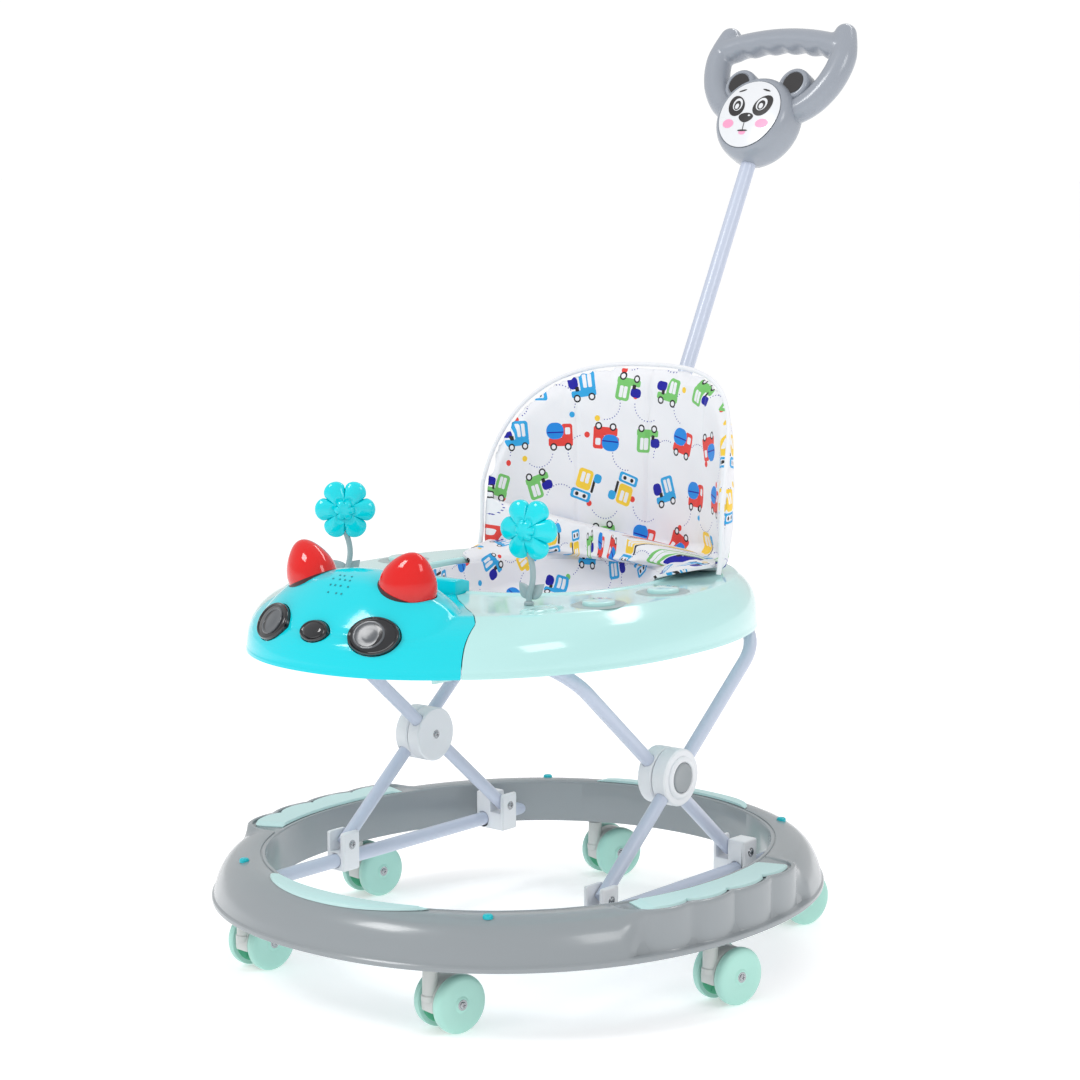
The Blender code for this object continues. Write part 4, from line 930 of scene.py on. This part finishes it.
def truck_print():
    """Shader group: the whole print in cloth coordinates, in metres."""
    group = bpy.data.node_groups.new("truck_print", "ShaderNodeTree")
    group.interface.new_socket("Cloth", in_out="INPUT", socket_type="NodeSocketVector")
    group.interface.new_socket("Color", in_out="OUTPUT", socket_type="NodeSocketColor")
    given, made = group.nodes.new("NodeGroupInput"), group.nodes.new("NodeGroupOutput")
    nodes, links = group.nodes, group.links
    put, number, vector = node_kit(group)

    def split(socket):
        return put(nodes.new("ShaderNodeSeparateXYZ"), (socket,)).outputs

    def combine(*values):
        return put(nodes.new("ShaderNodeCombineXYZ"), values).outputs[0]

    def cells(shift):
        """Where in its cell a point is, in mm, with three chances drawn for the cell."""
        millimetres = vector("SCALE", given.outputs["Cloth"], None, None, 1000)
        x, y, _ = split(vector("ADD", millimetres, (shift, shift * 0.62, 0)))
        row = number("FLOOR", number("DIVIDE", y, CELL))
        x = number("ADD", x, number("MULTIPLY", number("FLOORED_MODULO", row, 2), CELL / 2))
        column = number("FLOOR", number("DIVIDE", x, CELL))
        local = combine(number("SUBTRACT", x, number("MULTIPLY", number("ADD", column, 0.5), CELL)),
                        number("SUBTRACT", y, number("MULTIPLY", number("ADD", row, 0.5), CELL)), 0)
        chance = nodes.new("ShaderNodeTexWhiteNoise")
        links.new(combine(column, row, shift), chance.inputs["Vector"])
        return local, split(chance.outputs["Color"])

    def turned_by(point, angle):
        node = nodes.new("ShaderNodeVectorRotate")
        node.rotation_type = "Z_AXIS"
        return put(node, (point, None, None, angle)).outputs["Vector"]

    def patch(point, x, y, half_x, half_y, radius):
        node = nodes.new("ShaderNodeGroup")
        node.node_tree = PATCH
        return put(node, (point, (x, y, 0), (half_x, half_y, 1), radius)).outputs["Ink"]

    def layer(under, ink, colour):
        node = nodes.new("ShaderNodeMix")
        node.data_type = "RGBA"
        return put(node, (ink, *[None] * 5, under, colour)).outputs[2]

    colour = WHITE_CLOTH
    # Dotted arcs, each with a coloured dot at its end.
    local, chance = cells(CELL / 2)
    local = vector("SCALE", turned_by(local, number("MULTIPLY", chance[0], 6.283)), None, None, 0.7)
    x, y, _ = split(local)
    ring = number("LESS_THAN", number("ABSOLUTE", number("SUBTRACT", vector("LENGTH", local), 12.5)), 0.42)
    angle = number("ARCTAN2", y, x)
    beads = number("LESS_THAN", number("FRACT", number("MULTIPLY", angle, 5.4)), 0.32)
    arc = number("MULTIPLY", ring, number("MULTIPLY", beads, number("GREATER_THAN", angle, 0.9)))
    colour = layer(colour, arc, NAVY_INK)
    dot = patch(local, 12.0, 6.5, 0, 0, 2.3)
    for low, ink in ((0.0, RED_INK), (0.3, SKY_INK), (0.6, YELLOW_INK), (0.82, GREEN_INK)):
        colour = layer(colour, number("MULTIPLY", dot, number("GREATER_THAN", chance[1], low)), ink)
    # Trucks, a few leaning or upside down.
    local, chance = cells(0)
    lean = number("MULTIPLY", number("SUBTRACT", chance[0], 0.5), 0.7)
    lean = number("ADD", lean, number("MULTIPLY", number("GREATER_THAN", chance[1], 0.62), math.pi))
    local = vector("SCALE", turned_by(local, lean), None, None, 0.64)
    for index, truck in enumerate(TRUCKS):
        low, high = index / len(TRUCKS), (index + 1) / len(TRUCKS)
        mine = number("MULTIPLY", number("GREATER_THAN", chance[2], low), number("LESS_THAN", chance[2], high))
        for x, y, half_x, half_y, radius, ink in truck:
            colour = layer(colour, number("MULTIPLY", patch(local, x, y, half_x, half_y, radius), mine), ink)
    links.new(colour, made.inputs["Color"])
    return group


def woven_cloth(name, roughness=0.82):
    """Printed polyester: the print and a plain weave, both read from the cloth's own UV map in metres."""
    made = bpy.data.materials.new(name)
    made.use_nodes = True
    tree = made.node_tree
    shader = tree.nodes["Principled BSDF"]
    _, number, vector = node_kit(tree)
    cloth = tree.nodes.new("ShaderNodeUVMap")
    cloth.uv_map = "cloth"
    picture = tree.nodes.new("ShaderNodeGroup")
    picture.node_tree = bpy.data.node_groups.get("truck_print") or truck_print()
    tree.links.new(cloth.outputs["UV"], picture.inputs["Cloth"])
    tree.links.new(picture.outputs["Color"], shader.inputs["Base Color"])
    threads = tree.nodes.new("ShaderNodeSeparateXYZ")
    tree.links.new(vector("SCALE", cloth.outputs["UV"], None, None, 2 * math.pi / 0.0011), threads.inputs[0])
    weave = number("MULTIPLY", number("SINE", threads.outputs[0]), number("SINE", threads.outputs[1]))
    bump = tree.nodes.new("ShaderNodeBump")
    bump.inputs["Strength"].default_value, bump.inputs["Distance"].default_value = 0.35, 0.0002
    tree.links.new(weave, bump.inputs["Height"])
    tree.links.new(bump.outputs["Normal"], shader.inputs["Normal"])
    tree.links.new(number("ADD", roughness, number("MULTIPLY", weave, 0.05)), shader.inputs["Roughness"])
    shader.inputs["Sheen Weight"].default_value = 0.25
    shader.inputs["Sheen Roughness"].default_value = 0.4
    return made


PRINTED = woven_cloth("printed_polyester")


def cloth_map(piece, where):
    """Lays the cloth's UV map from where(point), in metres."""
    layer = piece.data.uv_layers.get("cloth") or piece.data.uv_layers.new(name="cloth")
    for loop in piece.data.loops:
        layer.data[loop.index].uv = where(piece.data.vertices[loop.vertex_index].co)


# ---------------------------------------------------------------- seat back
# A padded scoop stands on the band behind the opening. Its cover is inflated over thin foam, sewn
# down along the back's middle crease and the bottom seam, and bound with a welt round its edge.

BACK_MID_Y, BACK_HALF_X, BACK_DEPTH = 0.2245, 0.163, 0.120
BACK_SPAN, BACK_LOW_Z, BACK_RISE = math.radians(79), 0.3925, 0.203


def back_point(turn, rise, out=0.0):
    """The back's middle surface, from its foot (rise 0) to its top (1), moved out of it by out."""
    edge = 1 - (abs(turn) / math.radians(84)) ** 2.6
    height = BACK_RISE * edge**0.555
    depth = BACK_DEPTH - 0.006 * (1 - rise)
    y = MIDDLE_Y + BACK_MID_Y - BACK_DEPTH + depth * math.cos(turn) + min(0.012 * (rise - 0.3), 0)
    normal = Vector((math.sin(turn) / BACK_HALF_X, math.cos(turn) / depth, 0)).normalized()
    return Vector((BACK_HALF_X * math.sin(turn), y, BACK_LOW_Z + height * rise)) + normal * out


def back_turn(point):
    return math.atan2(point.x / BACK_HALF_X, (point.y - MIDDLE_Y - BACK_MID_Y + BACK_DEPTH) / BACK_DEPTH)


def on_back_shell(u, v):
    """The foam's outline: u goes over the front face and back over the rear face."""
    turn = BACK_SPAN * 0.997 * (2 * (u * 2 if u < 0.5 else 2 - 2 * u) - 1)
    share = math.sin(math.pi * min(max(v, 0.02), 0.98)) ** 0.3
    side = -1 if u < 0.5 else 1
    ends = max(0.0, 1 - abs(turn / BACK_SPAN) ** 10) ** 0.5
    return back_point(turn, 0.01 + 0.985 * v, side * 0.0042 * share * max(ends, 0.3))


seat_back = formed("padded_seat_back", 120, 30, on_back_shell, 180)
bpy.ops.object.mode_set(mode="EDIT")
bpy.ops.mesh.select_all(action="DESELECT")
bpy.ops.mesh.select_non_manifold()
bpy.ops.mesh.edge_face_add()
bpy.ops.object.mode_set(mode="OBJECT")
VOXEL = 0.0042
apply_modifier(seat_back, "REMESH", mode="VOXEL", voxel_size=VOXEL)
start = [vertex.co.copy() for vertex in seat_back.data.vertices]
cloth = seat_back.modifiers.new("cloth", "CLOTH")
cloth.settings.use_pressure = True
cloth.settings.uniform_pressure_force = 4
cloth.settings.effector_weights.gravity = 0
cloth.settings.quality = 5
for frame_number in range(1, 21):
    scene.frame_set(frame_number)
pick(seat_back)
bpy.ops.object.modifier_apply(modifier=cloth.name)
SWELL_CAP = 0.0042
for vertex, was in zip(seat_back.data.vertices, start):
    move = vertex.co - was
    if move.length > SWELL_CAP:
        vertex.co = was + move.normalized() * SWELL_CAP
apply_modifier(seat_back, "SUBSURF", levels=1, render_levels=1)


def seam(distance, width):
    return math.exp(-((distance / width) ** 2))


for vertex in seat_back.data.vertices:
    turn = back_turn(vertex.co)
    rise = (vertex.co.z - BACK_LOW_Z) / BACK_RISE
    around = turn * 0.145
    outward = Vector((math.sin(turn), math.cos(turn), 0))
    pull = 0.0024 * seam(around, 0.0022) * ease(0.04, 0.2, rise)
    pull += 0.0012 * seam(around - 0.085, 0.002) + 0.0012 * seam(around + 0.085, 0.002)
    middle = back_point(turn, min(max(rise, 0), 1))
    side = 1 if (vertex.co - middle).dot(outward) > 0 else -1
    crumple = 0.0007 * math.sin(61 * around + 9 * rise) * math.sin(23 * rise + 31 * around)
    vertex.co += outward * side * (crumple - pull)
cloth_map(seat_back, lambda p: (back_turn(p) * 0.150, p.z))
bpy.ops.object.shade_smooth()
fit(seat_back, PRINTED, "tray", "print_fabric", "seat_back")

PIPING = plastic("white_piping", tone(238, 239, 243), 0.7, 0.8)
edge_line = [back_point(BACK_SPAN, r / 30 * 0.98) for r in range(30)]
edge_line += [back_point(BACK_SPAN * math.cos(math.pi * i / 90), 0.99) for i in range(91)]
edge_line += [back_point(-BACK_SPAN, (29 - r) / 30 * 0.98) for r in range(30)]
kept = [edge_line[0]]
for point in edge_line:
    if (point - kept[-1]).length > 0.004:
        kept.append(point)
welt = bent_tube("seat_back_welt", kept, 0.0025, 4)
fit(welt, PIPING, "tray", "print_fabric")


# ---------------------------------------------------------------- seat sling
# Below the seam the cloth runs on as an apron, over the rim and down into the opening, and joins a
# hanging sling of the same quilted cloth, with two hemmed leg holes.

SEAM_Z, APRON_SPAN = 0.4000, math.radians(76)


def on_apron(u, v):
    """From the seam on the back's front face (v 0) over the rim and down the opening's wall (v 1)."""
    part = 2 * u - 1
    top = back_point(APRON_SPAN * part, 0, -0.0075)
    top.z = SEAM_Z
    turn = math.pi / 2 - math.radians(80) * part
    rim = between(TRAY_OPENING, TRAY_OUTER, turn, 0.035, 0.3950)
    lip = between(TRAY_OPENING, TRAY_OUTER, turn, -0.055, 0.3890)
    low = between(TRAY_OPENING, TRAY_OUTER, turn, -0.075, 0.3480)
    knots = (top, top.lerp(rim, 0.5) + Vector((0, 0, 0.0015 + 0.0012 * math.cos(9 * part))), rim, lip, low)
    spot = v * 4
    k = min(int(spot), 3)
    point = knots[k].lerp(knots[k + 1], spot - k)
    return point + Vector((0, 0, 0.0008 * math.sin(26 * part) * math.sin(math.pi * v)))


apron = formed("seat_apron", 96, 32, on_apron, 180)
apply_modifier(apron, "SMOOTH", iterations=6, factor=0.5)
apply_modifier(apron, "SOLIDIFY", thickness=0.0030, offset=0)
tidy_mesh(apron, sharp=80)
OPENING_MID = Vector((0, MIDDLE_Y + 0.030))


def on_opening(p):
    """Unrolls the cloth round the opening's middle, so that the print isn't drawn out on its walls."""
    away = p.xy - OPENING_MID
    reach = away.length + max(0, p.z - 0.325)
    return away.normalized() * reach


cloth_map(apron, on_opening)
fit(apron, PRINTED, "tray", "print_fabric")

SLING_OPEN = (0.1215, 0.1315, 2.1, 0.030)
LEG_X, LEG_Y, LEG_R_HOLE = 0.058, -0.030, 0.0355


def on_sling(u, v):
    """The bowl, from the opening's wall (v 0) to the middle of its floor (v 1), sagging in two lobes."""
    turn = 2 * math.pi * u
    scale = 1 - ease(0.25, 1.0, v) ** 0.85 * 0.999
    drop = 0.3860 - (0.3860 - 0.3262) * ease(0.0, 0.62, v) ** 0.8
    point = outline(tuple(a * scale for a in SLING_OPEN[:2]) + SLING_OPEN[2:], turn)
    lobes = math.cos(point.x / 0.062 * math.pi) * ease(0.35, 0.7, v)
    pleat = 0.0016 * math.sin(18 * turn) * math.sin(math.pi * v)
    point.z = drop - 0.0095 * ease(0.4, 0.85, v) + 0.0028 * lobes + pleat
    return point


sling = formed("seat_sling_cloth", 144, 48, on_sling, 180)
apply_modifier(sling, "SOLIDIFY", thickness=0.0034, offset=0)
for sign in (-1, 1):
    bpy.ops.mesh.primitive_cylinder_add(vertices=64, radius=LEG_R_HOLE, depth=0.12,
                                        location=(sign * LEG_X, MIDDLE_Y + LEG_Y, 0.33))
    cutter = bpy.context.object
    apply_modifier(sling, "BOOLEAN", object=cutter, operation="DIFFERENCE", solver="EXACT")
    bpy.data.objects.remove(cutter)
cloth_map(sling, on_opening)
fit(tidy_mesh(sling, sharp=60), PRINTED, "tray", "print_fabric", "seat_sling")


def sling_height(x, y):
    """The height of the sling's cloth over a spot, from its nearest point."""
    spot = Vector((x, y))
    return min(SLING_POINTS, key=lambda p: (p.xy - spot).length_squared).z


SLING_POINTS = [on_sling(i / 96, j / 40) for i in range(96) for j in range(10, 41)]
for side, sign in (("left", -1), ("right", 1)):
    hem = []
    for i in range(49):
        turn = 2 * math.pi * i / 48
        x, y = sign * LEG_X + LEG_R_HOLE * math.cos(turn), MIDDLE_Y + LEG_Y + LEG_R_HOLE * math.sin(turn)
        hem.append(Vector((x, y, sling_height(x, y))))
    for _ in range(3):
        heights = [p.z for p in hem]
        for i in range(48):
            hem[i].z = (heights[i - 1 if i else 47] + heights[i] + heights[i + 1]) / 3
        hem[48] = hem[0].copy()
    ring_hem = bent_tube(f"{side}_leg_hem", hem, 0.0027, 4)
    fit(ring_hem, PIPING, "tray", "print_fabric")


# ---------------------------------------------------------------- push handle
# A powder-coated tube drops into a socket behind the seat. On it sits a grey puck with an animal's
# face, whose ears carry two arms that rise into horns, with a finger-grooved crossbar between them.

ROD_R, ROD_Y, ROD_FOOT_Z, ROD_BEND_Z, ROD_TOP_Z = 0.0083, 0.244, 0.3495, 0.5107, 0.832
ROD_LEAN, ROD_BEND_R, PUCK_FOOT_Z = math.atan(0.5183), 0.16, 0.805
PUCK_HALF_X, PUCK_HALF_S, PUCK_MID_S = 0.048, 0.050, 0.051
PUCK_EAR_X, PUCK_EAR_S, PUCK_EAR_R = 0.036, 0.096, 0.0195
HANDLE_GREY = plastic("satin_handle_grey", tone(153, 159, 169), 0.24, 0.1, 0.3)
FACE_WHITE = plastic("white_face_plate", tone(232, 234, 238), 0.2, 0.04, 0.3)
FACE_BLACK = plastic("printed_black", tone(42, 40, 42), 0.3, 0.05)
FACE_PINK = plastic("printed_pink", tone(246, 160, 198), 0.35, 0.05)


def rod_line(z):
    return Vector((0, MIDDLE_Y + ROD_Y + math.tan(ROD_LEAN) * (z - ROD_BEND_Z), z))


rod_corners = [(0, MIDDLE_Y + ROD_Y, ROD_FOOT_Z), (0, MIDDLE_Y + ROD_Y, ROD_BEND_Z), rod_line(ROD_TOP_Z)]
rod_path = rounded(rod_corners, ROD_BEND_R)
fit(bent_tube("push_tube", rod_path, ROD_R, 9), POWDER, "push_handle", "tube_paint", "push_rod")
fit(softened("rod_socket", "tray_rod_socket", 0.0012, 3), MINT, "tray", "mint_gloss", "rod_socket")

up_rod = Vector((0, math.sin(ROD_LEAN), math.cos(ROD_LEAN)))
out_face = Vector((0, -math.cos(ROD_LEAN), math.sin(ROD_LEAN)))
handle_foot = rod_line(PUCK_FOOT_Z)


def on_handle(x, s, n=0.0):
    """A point x across the handle, s up it from the puck's foot and n out of its face."""
    return handle_foot + Vector((x, 0, 0)) + up_rod * s + out_face * n


def swept(name, path, radii, groove=None):
    """A round bar of changing size along a smooth line through these points, domed at its ends."""
    dense, sizes = [], []
    count = len(path) - 1
    for i in range(count * 8 + 1):
        t = i / 8
        k = min(int(t), count - 1)
        f = t - k
        p0, p1, p2, p3 = (path[max(k - 1, 0)], path[k], path[k + 1], path[min(k + 2, count)])
        dense.append(0.5 * (2 * p1 + (p2 - p0) * f + (2 * p0 - 5 * p1 + 4 * p2 - p3) * f * f
                            + (3 * p1 - p0 - 3 * p2 + p3) * f**3))
        sizes.append(radii[k] + (radii[k + 1] - radii[k]) * f)
    tangents = [(dense[min(i + 1, len(dense) - 1)] - dense[max(i - 1, 0)]).normalized() for i in range(len(dense))]
    last = len(dense) - 1

    def where(u, v):
        t = v * (last + 12) - 6
        i = int(min(max(t, 0), last))
        past = max(-t, t - last, 0) / 6
        tangent = tangents[i]
        across = (out_face - tangent * out_face.dot(tangent)).normalized()
        beside = tangent.cross(across)
        turn = 2 * math.pi * u
        radius = sizes[i] * math.cos(math.pi / 2 * past)
        centre = dense[i] + tangent * sizes[i] * math.sin(math.pi / 2 * past) * (1 if t > last else -1)
        point = centre + (across * math.cos(turn) + beside * math.sin(turn)) * radius
        return point + (groove(dense[i], point - centre) if groove else Vector((0, 0, 0)))
    return formed(name, 40, last + 12, where, 180)


def finger_groove(centre, offset):
    """Scallops pressed into the crossbar's under side."""
    under = max(0.0, -offset.dot(up_rod) / max(offset.length, 1e-6))
    wave = 0.5 - 0.5 * math.cos(2 * math.pi * (centre.x / 0.0270 + 0.5))
    return up_rod * 0.0034 * wave * ease(0.072, 0.058, abs(centre.x)) * under**1.5


ARM = [(0.026, 0.062), (0.046, 0.069), (0.064, 0.083), (0.078, 0.106), (0.0835, 0.134), (0.0775, 0.162)]
ARM_R = [0.0135, 0.0145, 0.0150, 0.0152, 0.0148, 0.0128]
pieces = []
for sign in (-1, 1):
    pieces.append(swept("arm", [on_handle(sign * x, s) for x, s in ARM], ARM_R))
bar_line = [on_handle(0.075 * (i / 4 - 1), 0.1455 + 0.0105 * (1 - (i / 4 - 1) ** 2)) for i in range(9)]
pieces.append(swept("crossbar", bar_line, [0.0150] * 9, finger_groove))
grip = joined("grooved_grip", *pieces)
apply_modifier(grip, "REMESH", mode="VOXEL", voxel_size=0.0013)
apply_modifier(grip, "SMOOTH", iterations=12, factor=0.5)
bpy.ops.object.shade_smooth()
fit(grip, HANDLE_GREY, "push_handle", "grey_plastic", "handle_grip")

PUCK_SECTION = ((-0.0210, 0.0), (-0.0210, 0.60), (-0.0196, 0.76), (-0.0165, 0.88), (-0.0115, 0.960), (-0.0050, 0.997),
                (0.0020, 1.0), (0.0080, 1.0), (0.0140, 0.992), (0.0185, 0.970), (0.0220, 0.930), (0.0245, 0.885),
                (0.0255, 0.850), (0.0250, 0.830), (0.0242, 0.822), (0.0242, 0.0))


def on_puck(u, v):
    n, size = step_of(PUCK_SECTION, v)
    turn = 2 * math.pi * u
    brow = 1 + 0.05 * math.sin(turn)
    return on_handle(PUCK_HALF_X * size * math.cos(turn) * brow, PUCK_MID_S + PUCK_HALF_S * size * math.sin(turn), n)


puck = formed("animal_puck", 96, len(PUCK_SECTION) - 1, on_puck, 50)
ears = []
EAR_SECTION = ((-0.0100, 0.0), (-0.0100, 0.80), (-0.0085, 0.93), (-0.0055, 1.0), (0.0085, 1.0), (0.0120, 0.95),
               (0.0138, 0.86), (0.0138, 0.74), (0.0126, 0.70), (0.0126, 0.0))
for sign in (-1, 1):
    def on_ear(u, v, sign=sign):
        n, size = step_of(EAR_SECTION, v)
        turn = 2 * math.pi * u
        return on_handle(sign * PUCK_EAR_X + PUCK_EAR_R * size * math.cos(turn),
                         PUCK_EAR_S + PUCK_EAR_R * size * math.sin(turn), n)
    ears.append(formed("round_ear", 56, len(EAR_SECTION) - 1, on_ear, 50))
fit(joined("animal_puck", puck, *ears), HANDLE_GREY, "push_handle", "grey_plastic", "panda_head")


def plate_height(x, s):
    far = (x / PUCK_HALF_X / 0.82) ** 2 + ((s - PUCK_MID_S) / PUCK_HALF_S / 0.82) ** 2
    return 0.0253 + 0.0042 * (1 - min(far, 1)) ** 0.8


def face_patch(name, x, s, half_x, half_s, tilt, layer, look, egg=0.0, height=plate_height, sides=40):
    """A thin printed or moulded patch that follows the face plate's dome."""
    def where(u, v):
        turn, share = 2 * math.pi * u, min(v / 0.9, 1)
        px = half_x * share * math.cos(turn) * (1 + egg * math.sin(turn))
        ps = half_s * share * math.sin(turn)
        lean = math.radians(tilt)
        spot_x = x + px * math.cos(lean) - ps * math.sin(lean)
        spot_s = s + px * math.sin(lean) + ps * math.cos(lean)
        return on_handle(spot_x, spot_s, height(spot_x, spot_s) + (layer * 0.0001 if v < 0.95 else -0.0004))
    return fit(formed(name, sides, 10, where, 60), look, "push_handle", "grey_plastic")


# Each patch: its name, x, height up the handle, half sizes, tilt, layer, colour and how egg-shaped it is.
face_patch("face_plate", 0, PUCK_MID_S, PUCK_HALF_X * 0.815, PUCK_HALF_S * 0.815, 0, 2, FACE_WHITE, 0.05, sides=96)
for patch in (
    ("face_nose", 0.0, 0.0445, 0.0092, 0.0058, 0, 6, FACE_BLACK, 0.25),
    ("nose_glint", 0.0042, 0.0470, 0.0016, 0.0010, 0, 8, FACE_WHITE),
    ("face_lip", 0.0, 0.0290, 0.0066, 0.0011, 0, 6, FACE_BLACK),
    ("face_tongue", 0.0, 0.0268, 0.0044, 0.0026, 0, 5, FACE_PINK),
    ("lip_line", 0.0, 0.0340, 0.0004, 0.0056, 0, 6, FACE_BLACK),
):
    face_patch(*patch)
for side, sign in (("left", -1), ("right", 1)):
    for name, x, s, half_x, half_s, tilt, layer, look, egg in (
        ("eye_patch", 0.0178, 0.0600, 0.0106, 0.0138, -32, 5, FACE_BLACK, -0.1),
        ("eye_white", 0.0160, 0.0612, 0.0066, 0.0080, -16, 7, FACE_WHITE, 0),
        ("pupil", 0.0160, 0.0600, 0.0046, 0.0060, -10, 9, FACE_BLACK, 0),
        ("pupil_ring", 0.0160, 0.0588, 0.0026, 0.0034, 0, 11, FACE_WHITE, 0),
        ("cheek", 0.0225, 0.0380, 0.0078, 0.0052, 8, 5, FACE_PINK, 0),
        ("brow", 0.0160, 0.0795, 0.0052, 0.0010, -14, 6, FACE_BLACK, 0),
    ):
        face_patch(f"{side}_{name}", sign * x, s, half_x, half_s, sign * tilt, layer, look, egg)
    face_patch(f"{side}_ear_lining", sign * 0.0365, 0.0965, 0.0128, 0.0128, sign * 30, 3, FACE_BLACK,
               height=lambda x, s: 0.0130)
